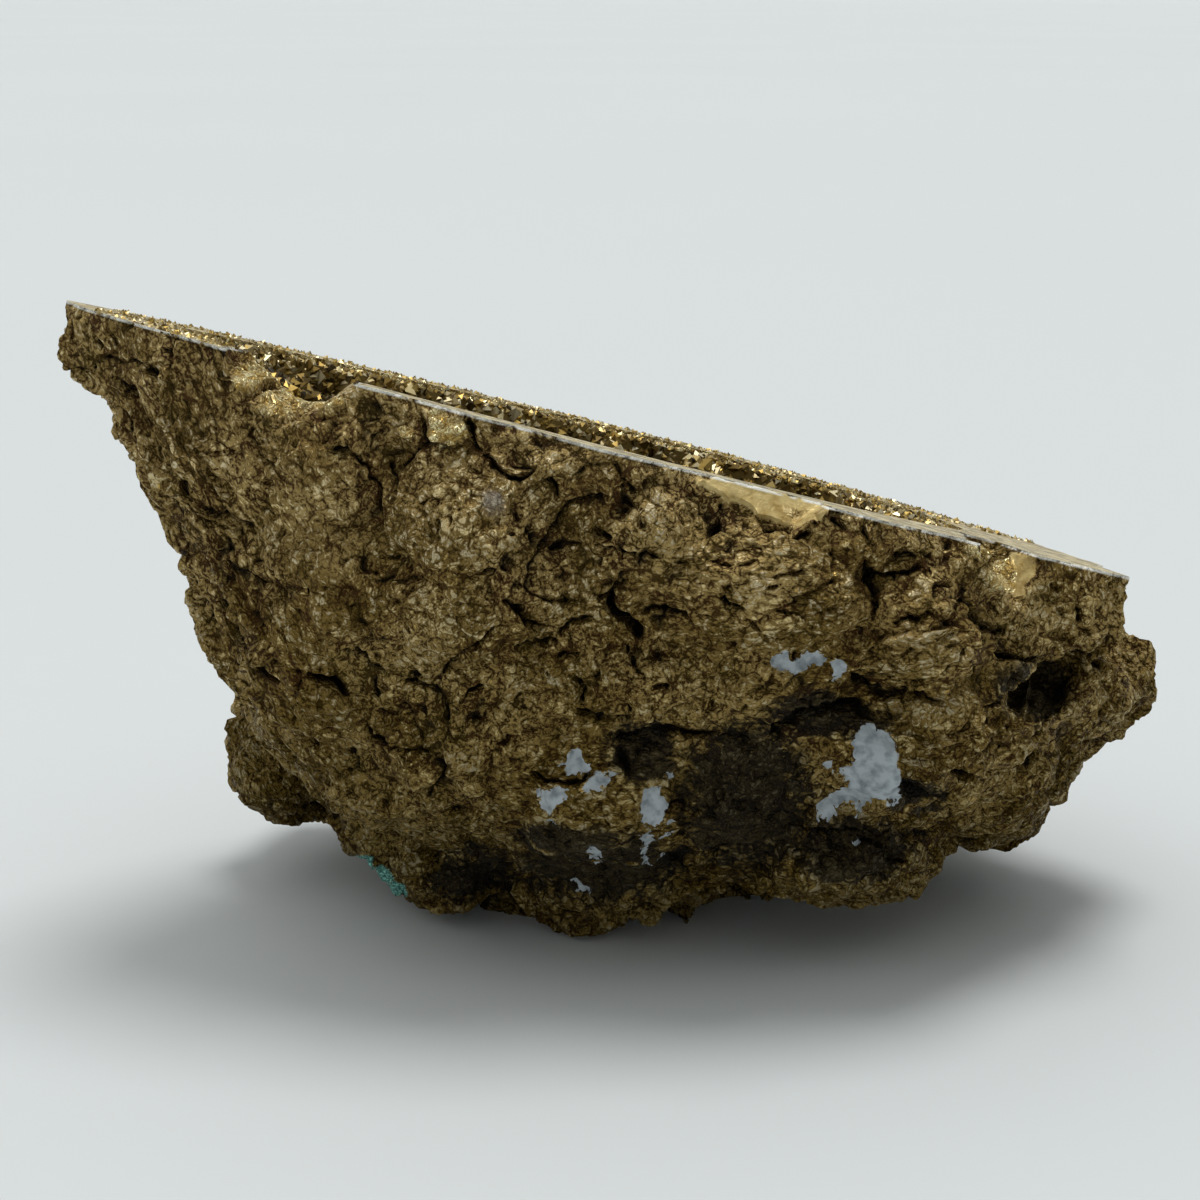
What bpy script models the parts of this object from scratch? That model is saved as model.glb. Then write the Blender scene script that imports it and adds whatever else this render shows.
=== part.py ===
"""Chalcopyrite specimen: a lumpy sulphide nodule, sawn across the top, with a vug lined by small crystals.

The nodule is one piece of natural ore, tarnished brown outside. A saw cut, sloping down to the right and
to the back, opens a hollow whose walls carry one crust of brassy crystals. The nodule stands on a small
flat spot under its lowest lumps. The origin is in that spot, X runs along the cut and Z is up.
"""

import math

import bmesh
import bpy
import numpy as np
from mathutils import Euler, Matrix, Vector
from mathutils.bvhtree import BVHTree

MM = 0.001

# The saw cut is a plane. Its height is over the origin, and it falls to the right and to the back.
CUT_HEIGHT = 24.25 * MM
CUT_FALL_RIGHT = 0.262
CUT_FALL_BACK = 0.15

# The nodule under its lumps: at each height, how far it reaches left, right, forward and back.
# Columns are height, left, right, front and back, in millimetres.
GIRTH = (
    (-1.2, -9.0, 7.0, -6.2, 7.6),
    (0.0, -10.4, 8.6, -7.2, 8.6),
    (2.0, -12.2, 16.6, -10.6, 11.2),
    (4.5, -13.6, 22.0, -14.0, 13.2),
    (8.0, -17.0, 24.8, -16.8, 14.8),
    (12.0, -18.8, 26.6, -18.2, 15.2),
    (16.0, -20.0, 25.4, -18.8, 14.8),
    (20.0, -20.6, 24.0, -18.9, 14.0),
    (24.0, -22.5, 22.8, -18.5, 13.2),
    (28.0, -24.4, 22.0, -18.0, 12.2),
    (31.0, -25.6, 20.4, -17.4, 11.4),
    (36.0, -25.0, 18.4, -16.8, 10.4),
)

# The core's plan has this many sides, and it is stacked up in this many levels.
CORE_SIDES = 64
CORE_LEVELS = 40

# The plan of the upper nodule, where both reaches run from -1 to 1. The ends sit forward of the middle.
SHOULDER_PLAN = (
    (-1.00, -0.40), (-0.86, -0.72), (-0.60, -0.90), (-0.25, -0.99), (0.15, -1.00), (0.50, -0.93),
    (0.80, -0.74), (1.00, -0.34), (0.92, 0.12), (0.66, 0.62), (0.32, 0.95), (-0.02, 0.95),
    (-0.38, 0.70), (-0.72, 0.32), (-0.92, 0.02),
)
# Directions in this plan are counted from this far forward of its middle.
PLAN_MIDDLE = -0.05
ROUND_BELOW = 3.0 * MM
SHOULDER_ABOVE = 15.0 * MM

# Lumps on the front: x and z of the middle, half width, half height, how far it stands proud, and its
# turn in degrees, in millimetres.
FRONT_LUMPS = (
    (-24.4, 29.6, 2.3, 1.9, 1.0, 0), (-21.8, 25.8, 1.5, 3.8, 0.5, 12), (-19.2, 24.4, 1.9, 4.6, 0.8, 14),
    (-17.0, 20.6, 2.3, 5.0, 0.8, 12), (-12.4, 25.9, 3.4, 3.2, 1.3, 0), (-12.4, 20.0, 4.0, 3.7, 1.5, 10),
    (-14.6, 15.0, 3.8, 3.0, 1.5, -15), (-5.9, 21.8, 4.3, 5.2, 2.1, 0), (-5.6, 27.6, 3.0, 1.7, 1.1, 0),
    (-0.9, 26.0, 3.3, 2.0, 1.3, -12), (1.6, 22.7, 3.3, 2.6, 1.2, 25), (7.0, 20.8, 5.4, 3.3, 1.9, 0),
    (11.9, 22.9, 3.8, 1.8, 1.3, -14), (14.9, 18.0, 3.6, 3.5, 2.0, 25), (15.2, 12.0, 4.4, 3.6, 1.7, 30),
    (25.6, 12.0, 2.6, 2.4, 1.0, -30), (21.6, 8.4, 3.4, 3.6, 1.2, 30), (20.6, 5.2, 3.0, 2.4, 1.2, 20),
    (12.6, 5.2, 5.2, 3.0, 2.0, -8), (-0.3, 9.4, 4.3, 3.6, 1.6, 0), (5.9, 9.8, 2.8, 3.0, 0.7, 0),
    (0.6, 3.0, 3.6, 2.6, 1.3, 0), (-8.4, 3.0, 3.7, 2.8, 1.9, 10), (-12.0, 4.6, 2.4, 2.4, 1.6, 30),
    (-7.3, 12.2, 4.4, 3.4, 1.3, 15), (8.9, 16.6, 3.4, 1.9, 1.4, 10), (1.8, 15.8, 2.9, 2.5, 0.8, -20),
    (-11.6, 9.2, 3.4, 2.8, 1.2, 30), (20.3, 13.4, 2.4, 2.6, 0.8, 0), (16.8, 21.2, 2.2, 1.4, 0.9, -14),
)
# A lump is this deep for its smaller half size. One that the core is too narrow for sits at its foot.
LUMP_DEPTH = 0.75
FOOT_FRONT = -8 * MM

# Lumps round the back, the sides and the underside are spread evenly by turning on the golden angle.
WILD_LUMPS = 58
WILD_HALF_WIDTH = (2.4 * MM, 4.8 * MM)
WILD_PROUD = (0.9 * MM, 2.0 * MM)
WILD_STRETCH = (0.75, 1.2)
WILD_DEPTH = 0.7
WILD_SEED = 11
UPRIGHTNESS = 0.55
# Directions that point further forward than the first, and no further down than the second, face the front.
FRONT_FROM = -0.3
UNDERSIDE_FROM = -0.75
NODULE_MIDDLE = Vector((1 * MM, -1 * MM, 14 * MM))

# The lobe that hangs at the lower left: middles and radii of its four knobs.
HANGING_LOBE = (
    ((-16.6, 0.6, 7.7), 3.5), ((-17.5, -0.6, 5.6), 2.6), ((-15.6, 1.0, 5.0), 2.7), ((-15.0, 3.6, 6.8), 3.6),
)
# The shelf at the right end, under the overhanging block.
RIGHT_SHELF = (((26.3, -3.6, 11.7), 2.7), ((24.5, -2.4, 9.8), 3.1), ((25.3, -0.8, 12.4), 2.6))
# The squared block at the right end of the sawn edge: middle, size, and turn in degrees about X, Y, Z.
RIGHT_BLOCK = ((21.5, -8.8, 19.0), (6.6, 8.2, 6.4), (0, 5, 16))
# Hollows in the skin: the dark recess under the block, and the dip between the foot and the right lobe.
DIPS = (((22.0, -14.6, 14.2), (3.2, 4.8, 1.3)), ((7.2, -12.0, 0.0), (3.0, 7.0, 3.5)))

# Skin: the lumps are fused on a fine grid, roughened, and then thinned to flat facets.
SKIN_GRID = 0.55 * MM
COARSE_GRAIN = 5.0 * MM
COARSE_RISE = 0.9 * MM
FINE_GRAIN = 1.9 * MM
FINE_RISE = -0.8 * MM
SKIN_FACETS = 6800

# The hollow's mouth in plan, and how each level below the cut shrinks towards its middle.
VUG_MOUTH = (
    (-21.2, -7.8), (-17.4, -11.6), (-12.0, -14.2), (-6.0, -15.3), (0.0, -15.5), (6.0, -14.9),
    (11.0, -13.4), (15.6, -10.2), (18.4, -5.6), (17.6, 0.2), (14.4, 5.8), (9.0, 9.8), (3.0, 10.9),
    (-3.0, 9.0), (-9.0, 5.0), (-15.0, 0.4), (-19.8, -3.4),
)
VUG_MIDDLE = Vector((-0.6 * MM, -3.6 * MM))
# Depth below the cut in millimetres, and the share of the mouth's reach that is left there.
VUG_LEVELS = ((-2.5, 1.00), (0.0, 1.00), (1.6, 0.975), (3.6, 0.90), (5.8, 0.76), (7.6, 0.52), (8.4, 0.22))
VUG_SIDES = 44

# The crust that lines the hollow keeps this gap to the ore, and stays this far under the sawn face.
CRUST_GAP = 0.3 * MM
CRUST_THICK = 1.1 * MM
CRUST_BELOW_CUT = 0.35 * MM
CRYSTALS = 86
CRYSTAL_REACH = (0.9 * MM, 2.1 * MM)
CRYSTAL_SEED = 5
# A crystal's points are cut back to this share, it leans by up to this much, and this much of it is sunk.
POINT_CUT = 0.45
CRYSTAL_WIDTH = 0.8
CRYSTAL_LEAN = 0.5
CRYSTAL_SUNK = 0.1

# Chips out of the sawn edge. Each is the hull of these points: x, y and the height from the cut, in
# millimetres. The first opens the front wall at the left, the next is a flat break and the last is small.
EDGE_CHIPS = (
    (
        (-17.0, -12.3, 0.0), (-13.6, -12.3, -1.3), (-12.1, -12.3, -1.1), (-11.4, -12.3, -0.4),
        (-10.6, -12.3, 0.0), (-17.0, -19.5, -1.6), (-15.3, -19.5, -3.6), (-12.9, -19.5, -2.0),
        (-11.4, -19.5, -0.6), (-10.6, -19.5, 0.0), (-17.0, -12.3, 4.0), (-10.6, -12.3, 4.0),
        (-17.0, -19.5, 4.0), (-10.6, -19.5, 4.0),
    ),
    (
        (3.4, -17.2, 0.3), (10.6, -16.2, 0.3), (7.4, -19.2, -2.4), (3.0, -23.0, 0.3), (11.0, -23.0, 0.3),
        (7.4, -24.0, -2.4),
    ),
    (
        (17.0, -9.6, 0.3), (18.0, -10.2, -0.7), (19.6, -9.6, 0.3), (17.2, -16.0, -0.6), (20.0, -16.0, -3.4),
        (21.4, -16.0, -1.2), (21.2, -16.0, 0.3), (17.0, -16.0, 0.3),
    ),
)
# The first chip took the edge of the crust behind it too.
CRUST_CHIP = (
    (-17.6, -7.0, 0.0), (-14.2, -7.0, -1.5), (-11.6, -7.0, -1.4), (-10.2, -7.0, 0.0),
    (-17.6, -19.5, 0.0), (-14.2, -19.5, -1.5), (-11.6, -19.5, -1.4), (-10.2, -19.5, 0.0),
    (-17.6, -7.0, 4.0), (-10.2, -7.0, 4.0), (-17.6, -19.5, 4.0), (-10.2, -19.5, 4.0),
)
# Blocks and rays that have to pass the whole nodule reach this far.
BEYOND = 60 * MM


def cut_z(x, y):
    """Height of the saw cut over a point of the plan."""
    return CUT_HEIGHT - CUT_FALL_RIGHT * x - CUT_FALL_BACK * y


def clear_scene():
    for leftover in list(bpy.data.objects):
        bpy.data.objects.remove(leftover)


def closed_curve(points, count):
    """Points at even steps along a smooth closed curve through the given ones."""
    ring = np.array(points, float)
    before, after, beyond = np.roll(ring, 1, 0), np.roll(ring, -1, 0), np.roll(ring, -2, 0)
    steps = np.linspace(0, 1, 24, endpoint=False)[:, None, None]
    spans = 0.5 * (
        2 * ring
        + (after - before) * steps
        + (2 * before - 5 * ring + 4 * after - beyond) * steps**2
        + (3 * ring - before - 3 * after + beyond) * steps**3
    )
    dense = spans.transpose(1, 0, 2).reshape(-1, 2)
    length = np.linalg.norm(np.roll(dense, -1, 0) - dense, axis=1)
    along = np.concatenate([[0], np.cumsum(length)])
    wanted = np.linspace(0, along[-1], count, endpoint=False)
    looped = np.vstack([dense, dense[:1]])
    return np.stack([np.interp(wanted, along, looped[:, k]) for k in (0, 1)], axis=1)


def mesh_object(name, bm):
    """A new object from a bmesh, with its faces pointing out."""
    bmesh.ops.recalc_face_normals(bm, faces=bm.faces)
    mesh = bpy.data.meshes.new(name)
    bm.to_mesh(mesh)
    bm.free()
    made = bpy.data.objects.new(name, mesh)
    bpy.context.scene.collection.objects.link(made)
    return made


def loft(rings):
    """A closed bmesh through rings of equally many points, the first and last capped."""
    bm = bmesh.new()
    rows = [[bm.verts.new(point) for point in ring] for ring in rings]
    for low, high in zip(rows, rows[1:]):
        for i in range(len(low)):
            j = (i + 1) % len(low)
            bm.faces.new((low[i], low[j], high[j], high[i]))
    bm.faces.new(rows[0])
    bm.faces.new(rows[-1])
    return bm


def settle(obj):
    """Applies the object's modifiers, in order."""
    graph = bpy.context.evaluated_depsgraph_get()
    shaped = bpy.data.meshes.new_from_object(obj.evaluated_get(graph))
    obj.modifiers.clear()
    obj.data = shaped


def boolean(obj, other, operation):
    step = obj.modifiers.new(operation.title(), "BOOLEAN")
    step.operation = operation
    step.solver = "EXACT"
    step.object = other
    settle(obj)
    bpy.data.objects.remove(other)


def drop_crumbs(obj):
    """Keeps the largest body of a mesh, and drops the crumbs that a cut leaves loose."""
    bm = bmesh.new()
    bm.from_mesh(obj.data)
    left = set(bm.verts)
    bodies = []
    while left:
        body, edge = set(), [left.pop()]
        while edge:
            vert = edge.pop()
            body.add(vert)
            near = {link.other_vert(vert) for link in vert.link_edges} & left
            left -= near
            edge.extend(near)
        bodies.append(body)
    largest = max(bodies, key=len)
    crumbs = [vert for vert in bm.verts if vert not in largest]
    bmesh.ops.delete(bm, geom=crumbs, context="VERTS")
    bm.to_mesh(obj.data)
    bm.free()


def nodule_core():
    """The plain nodule: its upper plan is the shoulder's, and it rounds off towards the foot."""
    shoulder = closed_curve(SHOULDER_PLAN, CORE_SIDES)
    turn = np.arctan2(shoulder[:, 1] - PLAN_MIDDLE, shoulder[:, 0])
    foot = np.stack([np.cos(turn), np.sin(turn)], axis=1)
    table = np.array(GIRTH) * MM
    rings = []
    for height in np.linspace(table[0, 0], table[-1, 0], CORE_LEVELS):
        left, right, front, back = (np.interp(height, table[:, 0], table[:, k]) for k in (1, 2, 3, 4))
        blend = np.clip((height - ROUND_BELOW) / (SHOULDER_ABOVE - ROUND_BELOW), 0, 1)
        plan = foot * (1 - blend) + shoulder * blend
        x = (left + right) / 2 + (right - left) / 2 * plan[:, 0]
        y = (front + back) / 2 + (back - front) / 2 * plan[:, 1]
        rings.append([(a, b, height) for a, b in zip(x, y)])
    return mesh_object("core", loft(rings))


def add_lump(bm, place, outward, half_width, half_height, half_depth, turn=0.0):
    """A flattened ball whose short axis points outward, turned about that axis."""
    upright = outward.to_track_quat("Y", "Z").to_matrix().to_4x4()
    size = Matrix.Diagonal((half_width, half_depth, half_height, 1))
    spin = Matrix.Rotation(turn, 4, "Y")
    matrix = Matrix.Translation(place) @ upright @ spin @ size
    bmesh.ops.create_icosphere(bm, subdivisions=3, radius=1, matrix=matrix)


def add_front_lumps(bm, tree):
    for x, z, half_width, half_height, proud, turn in FRONT_LUMPS:
        start = Vector((x * MM, -BEYOND, z * MM))
        hit, outward, _, _ = tree.ray_cast(start, Vector((0, 1, 0)))
        if hit is None:
            hit = Vector((x * MM, FOOT_FRONT, z * MM))
            outward = Vector((math.copysign(0.5, x), -0.85, 0)).normalized()
        half_depth = LUMP_DEPTH * min(half_width, half_height)
        place = hit + outward * (proud - half_depth) * MM
        add_lump(
            bm, place, outward, half_width * MM, half_height * MM, half_depth * MM, math.radians(turn)
        )


def add_wild_lumps(bm, tree):
    """Lumps on every side that the front list leaves bare."""
    rng = np.random.default_rng(WILD_SEED)
    golden = math.pi * (3 - math.sqrt(5))
    for i in range(WILD_LUMPS):
        up = UPRIGHTNESS - (1 + UPRIGHTNESS) * (i + 0.5) / WILD_LUMPS
        flat = math.sqrt(1 - up * up)
        way = Vector((flat * math.cos(golden * i), flat * math.sin(golden * i), up))
        half_width = rng.uniform(*WILD_HALF_WIDTH)
        proud = rng.uniform(*WILD_PROUD)
        stretch = rng.uniform(*WILD_STRETCH)
        if way.y < FRONT_FROM and way.z > UNDERSIDE_FROM:
            continue
        hit, outward, _, _ = tree.ray_cast(NODULE_MIDDLE + way * BEYOND, -way)
        half_depth = WILD_DEPTH * half_width
        place = hit + outward * (proud - half_depth)
        add_lump(bm, place, outward, half_width, half_width * stretch, half_depth)


def add_balls(bm, balls):
    for place, radius in balls:
        matrix = Matrix.Translation(Vector(place) * MM)
        bmesh.ops.create_icosphere(bm, subdivisions=3, radius=radius * MM, matrix=matrix)


def add_block(bm, middle, size, turn):
    place = Matrix.Translation(Vector(middle) * MM)
    spin = Euler([math.radians(angle) for angle in turn]).to_matrix().to_4x4()
    scale = Matrix.Diagonal((*(side * MM for side in size), 1))
    bmesh.ops.create_cube(bm, size=1, matrix=place @ spin @ scale)


def roughen(obj, name, kind, grain, strength):
    texture = bpy.data.textures.new(name, kind)
    texture.noise_scale = grain
    step = obj.modifiers.new(name, "DISPLACE")
    step.texture = texture
    step.texture_coords = "LOCAL"
    step.mid_level = 0.5
    step.strength = strength


def nodule_skin():
    """The core and its lumps fused into one rough skin, thinned to flat facets."""
    core = nodule_core()
    bm = bmesh.new()
    bm.from_mesh(core.data)
    tree = BVHTree.FromBMesh(bm)
    add_front_lumps(bm, tree)
    add_wild_lumps(bm, tree)
    add_balls(bm, HANGING_LOBE)
    add_balls(bm, RIGHT_SHELF)
    add_block(bm, *RIGHT_BLOCK)
    bm.to_mesh(core.data)
    bm.free()
    core.name = "ore_mass"
    fuse = core.modifiers.new("Fuse", "REMESH")
    fuse.mode = "VOXEL"
    fuse.voxel_size = SKIN_GRID
    roughen(core, "coarse_grain", "CLOUDS", COARSE_GRAIN, COARSE_RISE)
    roughen(core, "fine_grain", "VORONOI", FINE_GRAIN, FINE_RISE)
    settle(core)
    thin = core.modifiers.new("Thin", "DECIMATE")
    thin.ratio = SKIN_FACETS / (2 * len(core.data.polygons))
    settle(core)
    return core


def under_foot():
    """What lies below the flat rest spot."""
    bm = bmesh.new()
    bmesh.ops.create_cube(bm, size=2 * BEYOND, matrix=Matrix.Translation((0, 0, -BEYOND)))
    return mesh_object("under_foot", bm)


def chip(corners):
    """The hull of points given in plan, with their heights counted from the saw cut."""
    bm = bmesh.new()
    for x, y, rise in corners:
        bm.verts.new((x * MM, y * MM, cut_z(x * MM, y * MM) + rise * MM))
    bmesh.ops.convex_hull(bm, input=bm.verts)
    return mesh_object("chip", bm)


def over_the_cut(lift=0.0):
    """A slab whose underside is the saw cut, moved up by lift."""
    corners = ((-BEYOND, -BEYOND), (BEYOND, -BEYOND), (BEYOND, BEYOND), (-BEYOND, BEYOND))
    low = [(x, y, cut_z(x, y) + lift) for x, y in corners]
    high = [(x, y, z + BEYOND) for x, y, z in low]
    return mesh_object("over_the_cut", loft([low, high]))


def vug_rings(inset, levels, floor_lift=0.0):
    """Rings of a dish under the hollow's mouth, drawn in by inset and with its floor raised."""
    mouth = closed_curve(VUG_MOUTH, VUG_SIDES) * MM
    deepest = levels[-1][0]
    rings = []
    for depth, share in levels:
        middle = np.array(VUG_MIDDLE)
        spoke = (mouth - middle) * share
        reach = np.linalg.norm(spoke, axis=1, keepdims=True)
        spoke = spoke * np.maximum(reach - inset, 0.4 * MM) / reach
        lift = floor_lift * max(depth, 0) / deepest
        rings.append(
            [(x, y, cut_z(x, y) - depth * MM + lift) for x, y in spoke + middle]
        )
    return rings


def ore_mass():
    mass = nodule_skin()
    boolean(mass, over_the_cut(), "DIFFERENCE")
    boolean(mass, under_foot(), "DIFFERENCE")
    boolean(mass, mesh_object("vug", loft(vug_rings(0.0, VUG_LEVELS))), "DIFFERENCE")
    for corners in EDGE_CHIPS:
        boolean(mass, chip(corners), "DIFFERENCE")
    for middle, radii in DIPS:
        bm = bmesh.new()
        place = Matrix.Translation(Vector(middle) * MM)
        size = Matrix.Diagonal((*(radius * MM for radius in radii), 1))
        bmesh.ops.create_icosphere(bm, subdivisions=2, radius=1, matrix=place @ size)
        boolean(mass, mesh_object("dip", bm), "DIFFERENCE")
    drop_crumbs(mass)
    return mass


def add_crystal(bm, place, outward, reach, turn):
    """A wedge-shaped chalcopyrite crystal: four faces, with its corners cut back a little."""
    upright = outward.to_track_quat("Z", "Y").to_matrix().to_4x4()
    matrix = Matrix.Translation(place) @ upright @ Matrix.Rotation(turn, 4, "Z")
    corners = []
    for x, y, z in ((1, 1, 1), (-1, -1, 1), (-1, 1, -1), (1, -1, -1)):
        corner = Vector((x, y, z))
        for axis in range(3):
            toward = corner.copy()
            toward[axis] *= POINT_CUT
            corners.append(bm.verts.new(matrix @ (toward * CRYSTAL_WIDTH * reach)))
    bmesh.ops.convex_hull(bm, input=corners)


def druse_crust():
    """The crust on the hollow's wall: a thin dish with crystals fused to its inner side."""
    levels = [level for level in VUG_LEVELS if level[0] >= 0]
    inset = CRUST_GAP + CRUST_THICK
    inner = vug_rings(inset, levels, inset)
    outer = vug_rings(0.5 * CRUST_GAP, levels, 0.5 * CRUST_GAP)
    dish = mesh_object("druse_crust", loft([*reversed(inner), *outer]))
    room = loft(inner)
    bmesh.ops.recalc_face_normals(room, faces=room.faces)
    walls = [face for face in room.faces if face.normal.z < 0.5]
    spread = np.cumsum([face.calc_area() for face in walls])
    rng = np.random.default_rng(CRYSTAL_SEED)
    bm = bmesh.new()
    for i in range(CRYSTALS):
        face = walls[int(np.searchsorted(spread, (i + 0.5) / CRYSTALS * spread[-1]))]
        across, along = rng.uniform(0, 1, 2)
        corners = [vert.co for vert in face.verts]
        low = corners[0].lerp(corners[1], across)
        high = corners[-1].lerp(corners[2], across)
        place = low.lerp(high, along)
        reach = rng.uniform(*CRYSTAL_REACH)
        turn = rng.uniform(0, math.tau)
        lean = Vector(rng.uniform(-CRYSTAL_LEAN, CRYSTAL_LEAN, 3))
        room_above = cut_z(place.x, place.y) - CRUST_BELOW_CUT - place.z
        if reach > room_above:
            continue
        place -= face.normal * CRYSTAL_SUNK * reach
        add_crystal(bm, place, (lean - face.normal).normalized(), reach, turn)
    room.free()
    points = mesh_object("crystal_points", bm)
    union = dish.modifiers.new("Union", "BOOLEAN")
    union.operation = "UNION"
    union.solver = "EXACT"
    union.use_self = True
    union.object = points
    settle(dish)
    bpy.data.objects.remove(points)
    pocket = mesh_object("pocket", loft(vug_rings(CRUST_GAP, VUG_LEVELS, CRUST_GAP)))
    boolean(dish, pocket, "INTERSECT")
    boolean(dish, over_the_cut(-CRUST_BELOW_CUT), "DIFFERENCE")
    boolean(dish, chip(CRUST_CHIP), "DIFFERENCE")
    drop_crumbs(dish)
    return dish


def finish(name, color, metallic, roughness):
    material = bpy.data.materials.new(name)
    material.use_nodes = True
    shader = material.node_tree.nodes["Principled BSDF"]
    shader.inputs["Base Color"].default_value = (*color, 1)
    shader.inputs["Metallic"].default_value = metallic
    shader.inputs["Roughness"].default_value = roughness
    return material


clear_scene()
ore = ore_mass()
ore.data.materials.clear()
ore.data.materials.append(finish("tarnished_ore", (0.118, 0.086, 0.032), 0.35, 0.55))
crust = druse_crust()
crust.data.materials.clear()
crust.data.materials.append(finish("brassy_crystals", (0.48, 0.35, 0.11), 0.9, 0.32))
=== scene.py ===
import math

import bmesh
import bpy
import numpy as np
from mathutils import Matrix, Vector, geometry, noise
from mathutils.bvhtree import BVHTree


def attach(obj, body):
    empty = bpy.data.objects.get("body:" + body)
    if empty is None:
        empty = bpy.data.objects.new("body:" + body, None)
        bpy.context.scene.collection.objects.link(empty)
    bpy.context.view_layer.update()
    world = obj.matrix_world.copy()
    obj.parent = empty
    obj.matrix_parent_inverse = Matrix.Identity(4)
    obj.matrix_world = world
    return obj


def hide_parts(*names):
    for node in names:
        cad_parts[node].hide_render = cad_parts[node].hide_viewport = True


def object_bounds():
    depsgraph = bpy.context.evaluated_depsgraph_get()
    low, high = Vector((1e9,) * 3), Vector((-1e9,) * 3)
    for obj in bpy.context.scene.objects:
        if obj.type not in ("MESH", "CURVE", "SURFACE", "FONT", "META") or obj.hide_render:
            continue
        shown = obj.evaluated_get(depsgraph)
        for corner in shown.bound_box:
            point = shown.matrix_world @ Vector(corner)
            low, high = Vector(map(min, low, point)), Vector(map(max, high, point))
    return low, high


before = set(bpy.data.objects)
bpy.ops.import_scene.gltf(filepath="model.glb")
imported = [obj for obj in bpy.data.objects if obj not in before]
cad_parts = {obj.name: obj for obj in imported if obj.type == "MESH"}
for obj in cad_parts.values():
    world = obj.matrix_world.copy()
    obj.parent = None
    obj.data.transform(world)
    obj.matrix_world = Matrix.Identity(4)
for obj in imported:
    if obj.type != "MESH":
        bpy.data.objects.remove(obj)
cad_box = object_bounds()

# The camera stands as the one that took the picture: a short way in front of the stone and a little above
# it, looking down 15 degrees. All pixels named below are in its square frame, 1200 pixels wide.
FRAME_WIDTH = 1200
FOCAL_PIXELS = 2300
SENSOR_MM = 36.0
CAMERA_PLACE = np.array((0.0, -119.2, 47.0))
CAMERA_PITCH = math.radians(15)


def in_picture(points):
    """Where points in millimetres fall in the picture: columns and rows of pixels."""
    away = points - CAMERA_PLACE
    depth = away[:, 1] * math.cos(CAMERA_PITCH) - away[:, 2] * math.sin(CAMERA_PITCH)
    rise = away[:, 1] * math.sin(CAMERA_PITCH) + away[:, 2] * math.cos(CAMERA_PITCH)
    middle = FRAME_WIDTH / 2
    return np.stack([middle + FOCAL_PIXELS * away[:, 0] / depth, middle - FOCAL_PIXELS * rise / depth], 1)


bpy.ops.object.select_all(action="DESELECT")
bpy.ops.object.camera_add(location=CAMERA_PLACE / 1000, rotation=(math.pi / 2 - CAMERA_PITCH, 0, 0))
camera = bpy.context.object
camera.data.lens = FOCAL_PIXELS / FRAME_WIDTH * SENSOR_MM
camera.data.sensor_width = SENSOR_MM
camera.data.clip_start = 0.001
bpy.context.scene.camera = camera

# The nodule: one lump of copper ore that grew as knobs on knobs, so its skin is wrinkled, cracked and pitted
# all over. A diamond saw cut the top off flat, and the foot is where it stood in its bed.
NODULE_GRID = 0.13
NODULE_TRIANGLES = 192000
TOUCHING_METRES = 1e-6
CUT_HEIGHT = 24.25
CUT_SLOPE = np.array((0.262, 0.15, 1.0))
CUT_NORMAL = CUT_SLOPE / np.linalg.norm(CUT_SLOPE)
SPARE = 0.3
NEAR_PLANE = 0.12
ROOM = 0.08
TOP_ROOM = 0.03
SOFT_STEPS = 9
HOLLOW_REACH = (0.9, 0.6)
SEEN_FROM = (-0.05, 0.15)
TIP_FROM = -24.3
TIP_UNDER_CUT = 1.2
DETAIL_STEPS = 8
DETAIL_FACTOR = 1e-6
CRUMB_SIDES = 8
NOISE_SEED = 11


def only(piece):
    """Makes one object the selected and active one."""
    bpy.ops.object.select_all(action="DESELECT")
    piece.select_set(True)
    bpy.context.view_layer.objects.active = piece


def copy_of_node(node, name):
    """A new object with the node's own mesh, its loose triangles merged."""
    piece = bpy.data.objects.new(name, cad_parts[node].data.copy())
    bpy.context.scene.collection.objects.link(piece)
    only(piece)
    bpy.ops.object.mode_set(mode="EDIT")
    bpy.ops.mesh.select_all(action="SELECT")
    bpy.ops.mesh.remove_doubles(threshold=TOUCHING_METRES)
    bpy.ops.object.mode_set(mode="OBJECT")
    piece.data.materials.clear()
    return piece


def apply_modifier(piece, kind, **settings):
    """Adds a modifier with its settings and applies it."""
    only(piece)
    step = piece.modifiers.new(kind.title(), kind)
    for setting, value in settings.items():
        setattr(step, setting, value)
    bpy.ops.object.modifier_apply(modifier=step.name)


def points_of(piece):
    """A mesh's points in millimetres."""
    flat = np.empty(len(piece.data.vertices) * 3, np.float32)
    piece.data.vertices.foreach_get("co", flat)
    return flat.reshape(-1, 3).astype(float) * 1000


def normals_of(piece):
    flat = np.empty(len(piece.data.vertices) * 3, np.float32)
    piece.data.vertices.foreach_get("normal", flat)
    return flat.reshape(-1, 3).astype(float)


def move_points(piece, points):
    piece.data.vertices.foreach_set("co", (points / 1000).astype(np.float32).ravel())
    piece.data.update()


def store(piece, name, values):
    """Keeps one number for each point, for the materials to read."""
    layer = piece.data.attributes.new(name, "FLOAT", "POINT")
    layer.data.foreach_set("value", values.astype(np.float32))


def ramp(values, low, high):
    """0 up to low, 1 from high on, and a smooth step between."""
    share = np.clip((values - low) / (high - low), 0, 1)
    return share * share * (3 - 2 * share)


def swell(points, size):
    """Smooth noise from about -1 to 1, with humps about this many millimetres wide."""
    return np.array([noise.noise(point) for point in (points / size).tolist()])


def rumple(points, size, octaves=4):
    """Noise with finer and finer humps on it."""
    return np.array([noise.fractal(point, 0.8, 2.1, octaves) for point in (points / size).tolist()])


def shaken(points, size, reach):
    """The points moved about by smooth noise, so that patterns made on them turn and bend."""
    push = np.array([noise.noise_vector(point)[:] for point in (points / size).tolist()])
    return points + reach * push


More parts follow.
